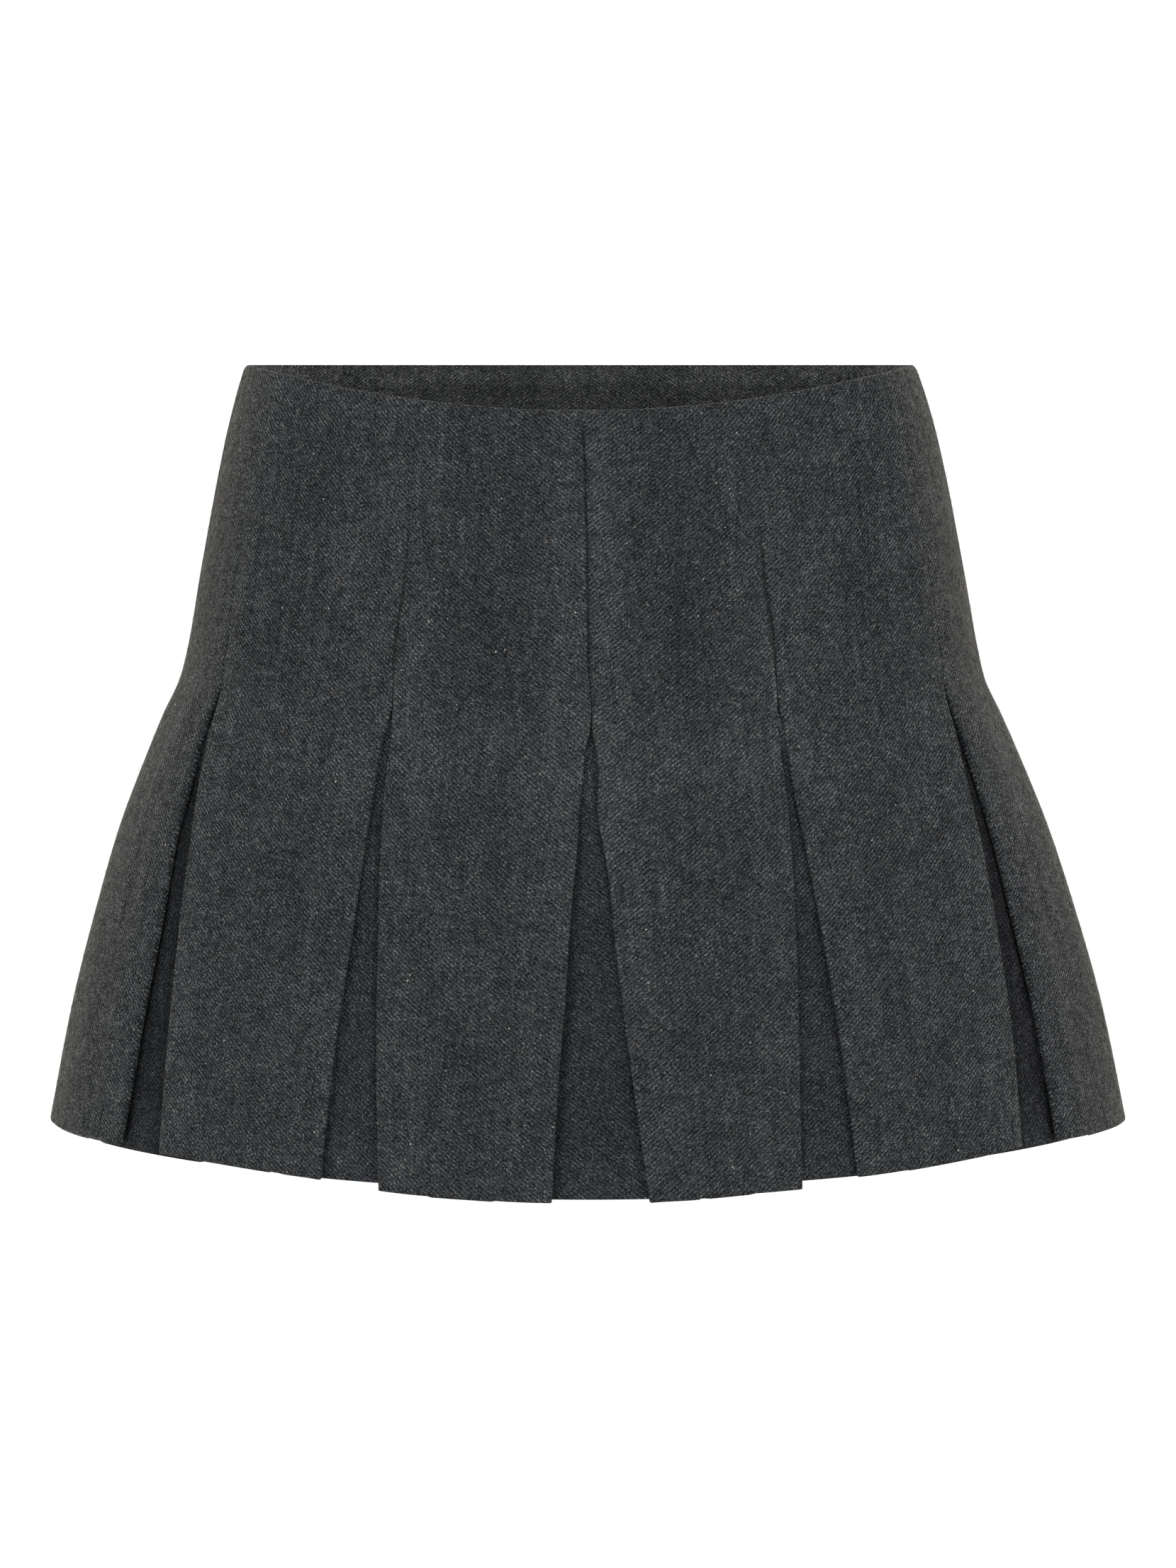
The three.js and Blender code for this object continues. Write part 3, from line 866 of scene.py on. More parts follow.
def panel_grid(name, before, after, cloth, seed):
    """The middle layer of a panel with its turned edges, and what make_wall needs with it."""
    shares = row_shares(0)
    last_flat = EDGE_CELLS + PANEL_CELLS
    last_column = last_flat + EDGE_CELLS
    column, share = np.meshgrid(np.arange(last_column + 1), shares)
    full_turn = 0 if after["waist"] > before["waist"] else 2 * math.pi

    across = np.clip((column - EDGE_CELLS) / PANEL_CELLS, 0, 1)
    sides = (
        (before, 1, 0, EDGE_CELLS - column, seed),
        (after, -1, full_turn, column - last_flat, seed + 1),
    )
    ends, turned, shade = [], [], 1
    for pleat, way, turn, beyond, spots in sides:
        line, opening, per_mm = pleat_at(pleat, share)
        reach = edge_section(pleat, share, cloth)[2]
        drift = fold_drift(pleat, 1 if way > 0 else 0, share)
        end = line + turn + way * (opening / 2 + reach + way * drift) * per_mm
        step = np.maximum(beyond, 0)
        along, inset = turned_edge(pleat, step, share, cloth)
        ends.append(end)
        turned.append((beyond > 0, end - way * along * per_mm, inset))
        # Painted shade in the seam's groove and painted light behind its fold.
        shade = shade * seam_shade(pleat, step, share, spots)
    angle = blend(*ends, across)
    inset = np.full_like(angle, cloth.thickness / 2)
    for there, turned_angle, turned_inset in turned:
        angle = np.where(there, turned_angle, angle)
        inset = np.where(there, turned_inset, inset)

    hem_drop = blend(before["hem_after"], after["hem_before"], across)
    fall = EDGE_FALL * smooth_step(share, RETURN_TOP, 1) * abs(2 * across - 1) ** 3
    for amount, high, power in WAIST_ROLL:
        fall = fall + amount * np.clip(1 - share * LENGTH / high, 0, 1) ** power
    plain = worn_point(angle, share, hem_drop, fall + inset)
    x, y = walked_over(plain, EDGE_CELLS + PANEL_CELLS // 2)
    relief, nap = hang_and_nap(name, x, y, share, cloth, seed)
    # Painted shade towards the hips.
    nap = nap + HIP_PAINTED_SHADE * np.sin(angle) ** 2
    bow = HEM_BOW.get(name, 0) * (1 - (2 * across - 1) ** 2)
    hem_drop = hem_drop - bow * smooth_step(share, HEM_BOW_STARTS, 1)
    middle = worn_point(angle, share, hem_drop, fall + inset - relief)

    present = np.ones((len(shares) - 1, last_column), bool)
    above = shares[:-1] < RETURN_TOP - SLACK
    present[above, :RETURN_CELLS] = False
    present[above, -RETURN_CELLS:] = False

    # Above the folds there is no return, so the lips carry straight on for the normals' sake.
    carried = middle.copy()
    closed = np.append(above, False)
    for lip, way in ((RETURN_CELLS, 1), (last_column - RETURN_CELLS, -1)):
        step = middle[closed, lip] - middle[closed, lip + way]
        for number in range(1, RETURN_CELLS + 1):
            carried[closed, lip - way * number] = middle[closed, lip] + step * number

    flat_part = (column >= EDGE_CELLS) & (column <= last_flat)
    half = cloth.thickness / 2
    half_in = half + turnings(x, y, flat_part, cloth)
    on_return = (column <= RETURN_CELLS) | (column >= last_column - RETURN_CELLS)
    folded = np.where(flat_part | on_return, 0.0, 1.0)
    folded = folded * smooth_step(share, ROLL_START, RETURN_TOP)
    return {
        "middle": middle,
        "normal": grid_normals(carried),
        "half": (np.full_like(half_in, half), half_in),
        "present": present,
        "uv": np.stack([x, -y], -1),
        # The shade mark and part of the nap mark are painted light and shade.
        "marks": {"fold": folded, "nap": nap, "shade": shade, "grain": grain_at(angle)},
        "inside_painted_light": blend(*reversed(INSIDE_PAINTED_LIGHT), smooth_step(y, *INNER_CHANGES)),
    }


def grain_at(angle):
    """How strong the mix of fibres is."""
    return 1 + HIP_GRAIN * np.sin(angle) ** 2


def hem_turning(y, cloth):
    """1 on the turned hem, 0 above it."""
    line = np.max(y) - cloth.hem_depth
    return ramp_at(line, y, (-TURNING_EDGE, TURNING_EDGE))


def turnings(x, y, flat_part, cloth):
    """What the turned hem and the turned waist edge add to the inner face.

    The hem's extra layer stops behind the turned edges of the panel.
    """
    clear = ramp_at(cloth.return_depth, flat_half(x, cloth) - abs(x), HEM_CLEAR)
    waist = 1 - ramp_at(cloth.waist_depth, y, (-TURNING_EDGE, TURNING_EDGE))
    hem = flat_part * hem_turning(y, cloth) * clear
    return hem * cloth.hem_layer + waist * cloth.waist_layer


# Light is painted on the underlay in the last millimetres above its hem, lifting its painted
# shade: where that starts, where it is full and by how much.
UNDERLAY_LIGHT = (30, -6, 0.2)
# Beside the folds the underlay is given painted shade for their shadow: how wide that is
# seen square on, how far behind the folds it hangs, how much darker it is and how soft the
# shade's edge is.
FOLD_SHADE = (1.3, 3.2, 0.3, 0.6)
LEAST_SHADE = 0.3
# The folds on the side seams stand end on, so no band of shade as wide as this is drawn there.
WIDEST_SHADE = 100.0
# A pleat that stands at a slant opens under its outer panel, and light is painted there as if
# the fold let it in: the slant past which that grows no more, how much painted light, by which
# power of the slant, and how far before and behind the fold it comes in.
STEEPEST = math.radians(56)
POCKET_LIGHT = 4.5
POCKET_POWER = 1.5
POCKET_REACH = (-0.5, 1.5)
# The underlay lies close behind the folds where they part, and light is painted there to make
# it as bright as the panels: how much brighter, and over how much of the length.
APEX_LIGHT = (0.8, 0.16)


def fold_shade(pleat, along, opening, share):
    """Painted shade and light by both folds; the side towards the centre seam is seen at a slant.
    """
    square_on, behind, darker, soft = FOLD_SHADE
    slant = (math.radians(pleat["hem"]) + math.pi / 2) % math.pi - math.pi / 2
    steep = np.clip(abs(slant) / STEEPEST, 0, 1)
    outwards = np.sign(slant) * along - opening / 2
    lit = POCKET_LIGHT * steep ** POCKET_POWER * smooth_step(share, *LIGHT_ENDS)
    shade = 1 + lit * smooth_step(outwards, *POCKET_REACH)
    for side in (-1, 1):
        wide = square_on - side * behind * math.tan(slant)
        inwards = opening / 2 - side * along
        if 0 < wide < WIDEST_SHADE:
            shade -= darker * ramp_at(wide, inwards, (soft, -soft))
    return np.clip(shade, LEAST_SHADE, 1 + POCKET_LIGHT)


def underlay_grid(pleat, cloth):
    """The middle layer of the cloth at the back of a pleat."""
    shares = row_shares(RETURN_TOP)
    column, share = np.meshgrid(np.arange(UNDERLAY_CELLS + 1), shares)
    angle, opening, per_mm = pleat_at(pleat, share)
    along = (opening / 2 + cloth.return_depth) * (2 * column / UNDERLAY_CELLS - 1)
    fall = EDGE_FALL * smooth_step(share, RETURN_TOP, 1)
    layers = UNDERLAY_LAYERS * cloth.thickness + cloth.fold_air + UNDERLAY_AIR
    hem_drop = (pleat["hem_before"] + pleat["hem_after"]) / 2 - pleat["lift"]
    inset = layers + return_splay_at(share, cloth) + fall
    middle = worn_point(angle + along * per_mm, share, hem_drop, inset)
    x, y = walked_over(middle, UNDERLAY_CELLS // 2)
    half = np.full_like(x, cloth.thickness / 2)
    # The underlay's shade mark: painted shade for the pleat's hollow, with painted light near the
    # hem and the apex, and painted shade and light beside the folds.
    starts, full, brighter = UNDERLAY_LIGHT
    near_hem = smooth_step(np.max(y) - y, starts, full)
    shade = np.minimum(pleat["shade"] + brighter * near_hem, 1)
    brighter, reach = APEX_LIGHT
    near_apex = 1 - ramp_at(pleat["stitched"], share, (0, reach))
    shade = shade * fold_shade(pleat, along, opening, share) * (1 + brighter * near_apex)
    plain = np.zeros_like(x)
    return {
        "middle": middle,
        "normal": grid_normals(middle),
        "half": (half, half + hem_turning(y, cloth) * cloth.hem_layer),
        "present": np.ones((len(shares) - 1, UNDERLAY_CELLS), bool),
        "uv": np.stack([x, -y], -1),
        "marks": {"fold": plain, "nap": plain, "shade": shade, "grain": grain_at(angle)},
        "inside_painted_light": np.full_like(x, INSIDE_PAINTED_LIGHT[0]),
    }


def panel_grids():
    """Every panel's grid, by its name."""
    cloth = cloth_in_mm()
    ways = zip(PANEL_NAMES, PLEATS, PLEATS[1:] + PLEATS[:1])
    return {name: panel_grid(name, before, after, cloth, seed)
            for seed, (name, before, after) in enumerate(ways)}


def underlay_grids():
    """Every underlay's grid, by its pleat's name."""
    cloth = cloth_in_mm()
    return {pleat["name"]: underlay_grid(pleat, cloth) for pleat in PLEATS}


# Where each next piece is cut from the cloth, in millimetres from the last one.
CUT_STEP = (173.0, 59.0)


def hang_cloth(kind, grids, first, twill):
    """Builds a wall from each grid, with its own place in the cloth.

    The twill runs the other way on the wearer's left, so that it meets in a chevron.
    """
    for number, (name, grid) in enumerate(grids.items(), first):
        if "left" in name:
            grid["uv"] = grid["uv"] * np.array([-1, 1])
        grid["uv"] = grid["uv"] + np.array(CUT_STEP) * number
        piece = make_wall("cloth_" + kind + "_" + name, **grid)
        piece.data.materials.append(twill)
        declare_cloth(piece, kind + "_" + name)


def declare_cloth(piece, node):
    """Attaches the piece to the body and hides the cut in model.glb that it stands for."""
    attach(piece, BODY)
    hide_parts(node)


# ---------------------------------------------------------------------------------------------
# Materials
# ---------------------------------------------------------------------------------------------

MATH = "ShaderNodeMath"
VECTOR_MATH = "ShaderNodeVectorMath"
MAPPING = "ShaderNodeMapping"
MIX = "ShaderNodeMix"
# The Mix node's sockets for two colours, after its factor, and their mix.
FIRST, SECOND, MIXED = 6, 7, 2

# Noises that are added up: patch size in millimetres, octaves and weight. One octave spreads by
# about NOISE_SPREAD around its middle.
NOISE_SPREAD = 0.125
RIB_WANDER = ((2.2, 1, 0.07), (16.0, 2, 0.2))
FINE_TUFTS = (1, 0.78)
TUFTS = (0.72, 1, 0.72)
CLUMPS = ((1.5, 1, 0.3), (3.4, 1, 0.22), (8.0, 1, 0.12), (24.0, 2, 0.12))
STREAKS = ((5.0, 2, 0.16),)
DYE_LOTS = ((0.9, 1, 0.5), (2.6, 1, 0.6), (7.0, 1, 0.6))
STANDING_NAP = ((0.9, 1, 0.6), (2.0, 1, 0.6), (4.5, 1, 0.5))
SHADE_DRIFT = ((3.0, 1, 1.0),)
# How each pattern is drawn out: tufts and neps along the ribs, streaks down the cloth.
TUFT_SCALE = (0.75, 1.0, 1.0)
NEP_SCALE = (0.45, 1.0, 1.0)
STREAK_SCALE = (1.0, 0.09, 1.0)
# How far a rib's floats shift across it, in millimetres, and how strongly and round which level
# they bead.
FLOAT_SHIFT = 0.2
BEADS = (0.3, 0.75)
RIB_WEIGHT = 1.0
# The mix of fibres spreads by this much to either side of the middle wool, which lies at half of
# the scale of mixed wools, and where each wool lies on it.
GRAIN_SPREAD = 1.8
WOOLS = ((0.2, "dark"), (0.5, "middle"), (0.78, "pale"), (1.0, "palest"))
# Neps in the yarn: cells on a millimetre, how much of a cell one fills, how many cells hold one and
# how pale it is.
NEPS = (0.3, 0.06, 0.07, 0.6)
LOT_WEIGHT = 0.25
FOLD_PALER = 0.06
# The wrong side shows more of the undyed, warmer wool.
WRONG_SIDE_TINT = (1.03, 1.0, 0.965)
# How mottled the light on the nap is, and the least of it.
NAP_MOTTLE = 0.5
LEAST_SHEEN = 0.02
# The relief: the yarns' share beside the tufts', and its height in millimetres.
YARN_RELIEF = 0.4
BUMP_HEIGHT = 0.05
# How much and round which level loose fibre ends drift from their darker to their paler grey.
LOOSE_DRIFT = (0.4, 0.4)


def add(tree, kind, inputs=(), out=0, **facts):
    """Adds a node and gives its output named or numbered out, or the whole node if out is None.

    inputs are values or other nodes' outputs, for its sockets in order, or by name or number.
    """
    node = tree.nodes.new(kind)
    for name, value in facts.items():
        setattr(node, name, value)
    places = inputs if isinstance(inputs, dict) else dict(enumerate(inputs))
    for place, value in places.items():
        socket = node.inputs[place]
        if isinstance(value, bpy.types.NodeSocket):
            tree.links.new(value, socket)
        else:
            socket.default_value = value
    return node if out is None else node.outputs[out]


def colour4(colour):
    return (*colour, 1.0)


def new_material(name):
    material = bpy.data.materials.new(name)
    material.use_nodes = True
    material.node_tree.nodes.clear()
    return material, material.node_tree


def finished(material, shading):
    """The material, given one shader with these values."""
    tree = material.node_tree
    shader = add(tree, "ShaderNodeBsdfPrincipled", shading)
    add(tree, "ShaderNodeOutputMaterial", {"Surface": shader}, None)
    return material


def layered_noise(tree, place, layers):
    """Adds up noises. Each layer is a patch size in millimetres, its octaves and its weight.

    The sum is about 0 and a layer of weight 1 spreads by about 1 to either side.
    """
    total = 0.0
    for number, (patch, octaves, weight) in enumerate(layers):
        shift = (17.0 * number, 31.0 * number, 0.0)
        noise = add(tree, "ShaderNodeTexNoise", {
            "Vector": add(tree, MAPPING, {"Vector": place, "Location": shift}),
            "Scale": 1 / patch, "Detail": octaves - 1.0, "Roughness": 0.9,
        })
        centred = add(tree, MATH, (noise, 0.5), operation="SUBTRACT")
        total = add(tree, MATH, (centred, weight / NOISE_SPREAD, total), operation="MULTIPLY_ADD")
    return total


def wool_twill(name, sheen, tint):
    """Wool flannel: a twill woven from mixed grey fibres, then milled and brushed.

    Milling blurs the ribs, so the eye sees a faint diagonal under a salt-and-pepper mix of fibres,
    and the brushed nap catches light where the cloth turns away. The tufts are drawn coarser than
    single fibres, which are too fine to show.
    """
    _, colours, twill, _ = settings()
    material, tree = new_material(name)
    flat = add(tree, "ShaderNodeUVMap", uv_map="flat_cloth")
    place = add(tree, MAPPING, {"Vector": flat, "Scale": (1 / MM,) * 3})
    grain, nap, fold, shade, wrong_side = [
        add(tree, "ShaderNodeAttribute", out="Fac", attribute_name=mark)
        for mark in ("grain", "nap", "fold", "shade", "wrong_side")
    ]

    # Ribs: turned so that x runs along a rib and y runs across the ribs, in millimetres.
    turned = add(tree, MAPPING, {"Vector": place, "Rotation": (0, 0, twill.rise)})
    axes = add(tree, "ShaderNodeSeparateXYZ", (turned,), None).outputs
    wander = layered_noise(tree, place, RIB_WANDER)
    across = add(tree, MATH, (axes["Y"], wander), operation="ADD")
    ribs = 2 * math.pi * MM / twill.rib
    rib_turns = add(tree, MATH, (across, ribs), operation="MULTIPLY")
    rib = add(tree, MATH, (rib_turns,), operation="SINE")
    along = add(tree, MATH, (rib, FLOAT_SHIFT, axes["X"]), operation="MULTIPLY_ADD")
    floats = 2 * math.pi * MM / twill.float_length
    float_turns = add(tree, MATH, (along, floats), operation="MULTIPLY")
    bead = add(tree, MATH, (float_turns,), operation="SINE")
    bead = add(tree, MATH, (bead, *BEADS), operation="MULTIPLY_ADD")
    yarn = add(tree, MATH, (rib, bead), operation="MULTIPLY")

    # Fibres: mixed tufts, the finer ones drawn out a little along the ribs, in larger clumps.
    drawn_out = add(tree, MAPPING, {"Vector": turned, "Scale": TUFT_SCALE})
    tufts = layered_noise(tree, drawn_out, ((twill.fibre / MM, *FINE_TUFTS), TUFTS))
    clumps = layered_noise(tree, place, CLUMPS)
    wool = add(tree, MATH, (tufts, clumps), operation="ADD")
    wool = add(tree, MATH, (yarn, RIB_WEIGHT, wool), operation="MULTIPLY_ADD")
    wool = add(tree, MATH, (wool, grain), operation="MULTIPLY")
    long_way = add(tree, MAPPING, {"Vector": place, "Scale": STREAK_SCALE})
    streaks = layered_noise(tree, long_way, STREAKS)
    # The nap mark shifts the mix paler or darker; it also holds painted light and shade at some
    # edges and towards the hips.
    lie = add(tree, MATH, (streaks, nap), operation="ADD")
    wool = add(tree, MATH, (wool, lie), operation="ADD")
    wool = add(tree, MATH, (wool, 0.5 / (2 * GRAIN_SPREAD), 0.5), operation="MULTIPLY_ADD")
    ramp = add(tree, "ShaderNodeValToRGB", (wool,), None)
    while len(ramp.color_ramp.elements) < len(WOOLS):
        ramp.color_ramp.elements.new(0.5)
    for element, (position, shade_name) in zip(ramp.color_ramp.elements, WOOLS):
        element.position = position
        element.color = colour4(getattr(colours, shade_name))

    # Neps: a few short pale fibres, one in some of the cells of a coarse grid.
    cells, reach, held, paleness = NEPS
    nep_place = add(tree, MAPPING, {"Vector": turned, "Scale": NEP_SCALE})
    neps = add(tree, "ShaderNodeTexVoronoi",
               {"Vector": nep_place, "Scale": cells, "Randomness": 1.0}, None, feature="F1").outputs
    near = add(tree, MATH, (neps["Distance"], reach), operation="LESS_THAN")
    pick = add(tree, "ShaderNodeSeparateColor", (neps["Color"],))
    picked = add(tree, MATH, (pick, held), operation="LESS_THAN")
    chosen = add(tree, MATH, (near, picked), operation="MULTIPLY")
    nep_share = add(tree, MATH, (chosen, paleness), operation="MULTIPLY")
    neps = {0: nep_share, FIRST: ramp.outputs[0], SECOND: colour4(colours.fleck)}
    coloured = add(tree, MIX, neps, MIXED, data_type="RGBA")

    # Dye lots: warm and cool wools were carded together, so the grey drifts a little in hue.
    lots = layered_noise(tree, place, DYE_LOTS)
    lot_share = add(tree, MATH, (lots, LOT_WEIGHT, 0.5), operation="MULTIPLY_ADD")
    lot = {0: lot_share, FIRST: colour4(colours.cool), SECOND: colour4(colours.warm)}
    lot = add(tree, MIX, lot, MIXED, data_type="RGBA")
    coloured = add(tree, VECTOR_MATH, (coloured, lot), operation="MULTIPLY")

    # Folds are pressed, and their fibre ends stand up and look paler.
    fold_share = add(tree, MATH, (fold, FOLD_PALER), operation="MULTIPLY")
    edged = {0: fold_share, FIRST: coloured, SECOND: colour4(colours.pale)}
    coloured = add(tree, MIX, edged, MIXED, data_type="RGBA")
    # The face's tint: painted cool light on the underlays, none on the panels.
    side_tint = {0: wrong_side, FIRST: colour4(tint), SECOND: colour4(WRONG_SIDE_TINT)}
    side_tint = add(tree, MIX, side_tint, MIXED, data_type="RGBA")
    coloured = add(tree, VECTOR_MATH, (coloured, side_tint), operation="MULTIPLY")
    # The shade mark scales the colour by its painted light and shade.
    coloured = add(tree, VECTOR_MATH, {0: coloured, "Scale": shade}, operation="SCALE")

    # Nap: the brushed ends stand in tufts, so the light on them at a slant is mottled.
    stand = layered_noise(tree, place, STANDING_NAP)
    lit = add(tree, MATH, (stand, NAP_MOTTLE * sheen, sheen), operation="MULTIPLY_ADD")
    lit = add(tree, MATH, (lit, LEAST_SHEEN), operation="MAXIMUM")
    height = add(tree, MATH, (yarn, YARN_RELIEF, tufts), operation="MULTIPLY_ADD")
    relief = {"Height": height, "Distance": BUMP_HEIGHT * MM, "Strength": 1.0}
    return finished(material, {
        "Base Color": coloured, "Roughness": 0.92, "Specular IOR Level": 0.1, "IOR": 1.45,
        "Sheen Weight": lit, "Sheen Roughness": 0.11, "Sheen Tint": colour4(colours.nap),
        "Normal": add(tree, "ShaderNodeBump", relief),
    })


def plain_floor():
    """Studio floor: matt painted board, so it only gives back soft light."""
    return finished(new_material("painted_board_floor")[0], {
        "Base Color": colour4(settings()[1].floor), "Roughness": 0.9, "Specular IOR Level": 0.2,
    })


def place_in_mm(tree):
    """A point's own place in millimetres."""
    where = add(tree, "ShaderNodeTexCoord", out="Object")
    return add(tree, MAPPING, {"Vector": where, "Scale": (1 / MM,) * 3})


def loose_wool(name, colour, paler):
    """Loose fibre ends: matt wool, each one a slightly different grey."""
    material, tree = new_material(name)
    noise = layered_noise(tree, place_in_mm(tree), SHADE_DRIFT)
    drift = add(tree, MATH, (noise, *LOOSE_DRIFT), operation="MULTIPLY_ADD")
    greys = {0: drift, FIRST: colour4(colour), SECOND: colour4(paler)}
    return finished(material, {
        "Base Color": add(tree, MIX, greys, MIXED, data_type="RGBA"),
        "Roughness": 0.95, "Specular IOR Level": 0.1, "Sheen Weight": 0.2,
    })


def sewing_thread():
    """Spun polyester thread: two plies twisted together, so it glints in short steps."""
    colours = settings()[1]
    material, tree = new_material("spun_sewing_thread")
    plies = {"Vector": place_in_mm(tree), "Scale": 0.9, "Distortion": 1.5}
    twist = add(tree, "ShaderNodeTexWave", plies, "Fac")
    greys = {0: twist, FIRST: colour4(colours.thread), SECOND: colour4(colours.pale)}
    return finished(material, {
        "Base Color": add(tree, MIX, greys, MIXED, data_type="RGBA"),
        "Roughness": 0.6, "Specular IOR Level": 0.35,
    })


# ---------------------------------------------------------------------------------------------
# Geometry Nodes: loose fibres over the cloth and stitches along its seams
# ---------------------------------------------------------------------------------------------

RANDOM = "FunctionNodeRandomValue"
ROTATE = "FunctionNodeRotateRotation"
ALIGN = "FunctionNodeAlignRotationToVector"
# A loose fibre's ends and middle, in fibre lengths: along, across and out of the cloth.
FIBRE_SHAPE = ((0.0, 0.0, -0.03), (0.45, 0.25, 0.2), (1.0, 0.0, 0.1))
# A stitch's ends and middle: along in stitch lengths and out of the cloth in thread radii.
STITCH_SHAPE = ((-0.5, -1.0), (0.0, 1.6), (0.5, -1.0))
# Points along a fibre and along a stitch, and sides round each.
FIBRE_DETAIL = (3, 3)
STITCH_DETAIL = (4, 4)
# What is scattered: its name, its material, its own seed, and its smallest and largest scale.
SCATTERED = (
    ("Fibre", "Fibre Material", 0, (0.5, 0.5, 0.5), (1.3, 1.3, 1.5)),
    ("Nep", "Nep Material", 9, (0.6, 0.6, 0.3), (1.7, 1.2, 0.6)),
    ("Large Nep", "Nep Material", 17, (1.3, 1.1, 0.6), (2.7, 1.9, 1.0)),
)
# How far a scattered piece leans out of the cloth and turns on it, at most, in radians.
LEAST_SPIN = (-0.25, -0.2, 0.0)
MOST_SPIN = (0.25, 0.2, 2 * math.pi)
# How far a stitch turns from its row at random, in radians, and how its size varies.
STITCH_WOBBLE = 0.12
STITCH_SIZES = ((0.9, 1.0, 0.8), (1.05, 1.1, 1.1))
# How the catch stitches at the hem slant across their row, in radians.
CATCH_SLANT = 0.9


def geometry_tree(name, inputs):
    """A Geometry Nodes tree with a socket for each named input, and those sockets."""
    tree = bpy.data.node_groups.new(name, "GeometryNodeTree")
    tree.interface.new_socket("Geometry", in_out="INPUT", socket_type="NodeSocketGeometry")
    for label, kind in inputs.items():
        tree.interface.new_socket(label, in_out="INPUT", socket_type="NodeSocket" + kind)
    tree.interface.new_socket("Geometry", in_out="OUTPUT", socket_type="NodeSocketGeometry")
    return tree, add(tree, "NodeGroupInput", out=None).outputs


def grow(source, name, tree, values):
    """Runs the tree on a source object and keeps the result as one plain mesh object."""
    modifier = source.modifiers.new(name, "NODES")
    modifier.node_group = tree
    for socket in tree.interface.items_tree:
        if socket.in_out == "INPUT" and socket.name in values:
            modifier[socket.identifier] = values[socket.name]
    evaluated = source.evaluated_get(bpy.context.evaluated_depsgraph_get())
    mesh = bpy.data.meshes.new_from_object(evaluated)
    mesh.name = name
    source.modifiers.clear()
    old = source.data
    bpy.data.objects.remove(source)
    bpy.data.meshes.remove(old)
    piece = in_scene(name, mesh)
    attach(piece, BODY)


def bent_thread(tree, start, middle, end, radius, points, sides):
    """A thin curved thread with closed ends, so short that a few points are enough."""
    bend = add(tree, "GeometryNodeCurveQuadraticBezier", {
        "Resolution": 8, "Start": start, "Middle": middle, "End": end,
    })
    line = add(tree, "GeometryNodeResampleCurve", {"Curve": bend, "Count": points})
    ring = add(tree, "GeometryNodeCurvePrimitiveCircle", {"Resolution": sides, "Radius": radius})
    return add(tree, "GeometryNodeCurveToMesh",
               {"Curve": line, "Profile Curve": ring, "Fill Caps": True})


def placed(tree, points, shape, rotation, size, material):
    """Copies of a shape on points, made real and given their material."""
    copies = add(tree, "GeometryNodeInstanceOnPoints", {
        "Points": points, "Instance": shape, "Rotation": rotation, "Scale": size,
    })
    real = add(tree, "GeometryNodeRealizeInstances", (copies,))
    return add(tree, "GeometryNodeSetMaterial", {"Geometry": real, "Material": material})


def nap_tree():
    """Loose fibre ends that lie along the cloth, and small round neps."""
    tree, inputs = geometry_tree("loose_nap", {
        "Fibre Density": "Float", "Fibre Length": "Float", "Fibre Radius": "Float",
        "Nep Density": "Float", "Large Nep Density": "Float", "Nep Radius": "Float", "Seed": "Int",
        "Fibre Material": "Material", "Nep Material": "Material",
    })
    bend = [add(tree, VECTOR_MATH, {0: point, "Scale": inputs["Fibre Length"]}, operation="SCALE")
            for point in FIBRE_SHAPE]
    fibre = bent_thread(tree, *bend, inputs["Fibre Radius"], *FIBRE_DETAIL)
    ball = add(tree, "GeometryNodeMeshIcoSphere",
               {"Radius": inputs["Nep Radius"], "Subdivisions": 1})
    both = add(tree, "GeometryNodeJoinGeometry", out=None)
    for label, material, own_seed, smallest, largest in SCATTERED:
        seeds = [add(tree, MATH, (inputs["Seed"], own_seed + choice), operation="ADD")
                 for choice in (1.0, 2.0, 3.0)]
        points = add(tree, "GeometryNodeDistributePointsOnFaces", {
            "Mesh": inputs["Geometry"], "Density": inputs[label + " Density"], "Seed": seeds[0],
        }, None).outputs
        spin = add(tree, RANDOM, {0: LEAST_SPIN, 1: MOST_SPIN, "Seed": seeds[1]},
                   data_type="FLOAT_VECTOR")
        turned = add(tree, ROTATE, {"Rotation": points["Rotation"], "Rotate By": spin},
                     rotation_space="LOCAL")
        size = add(tree, RANDOM, {0: smallest, 1: largest, "Seed": seeds[2]},
                   data_type="FLOAT_VECTOR")
        shape = fibre if label == "Fibre" else ball
        part = placed(tree, points["Points"], shape, turned, size, inputs[material])
        tree.links.new(part, both.inputs[0])
    add(tree, "NodeGroupOutput", (both.outputs[0],), None)
    return tree


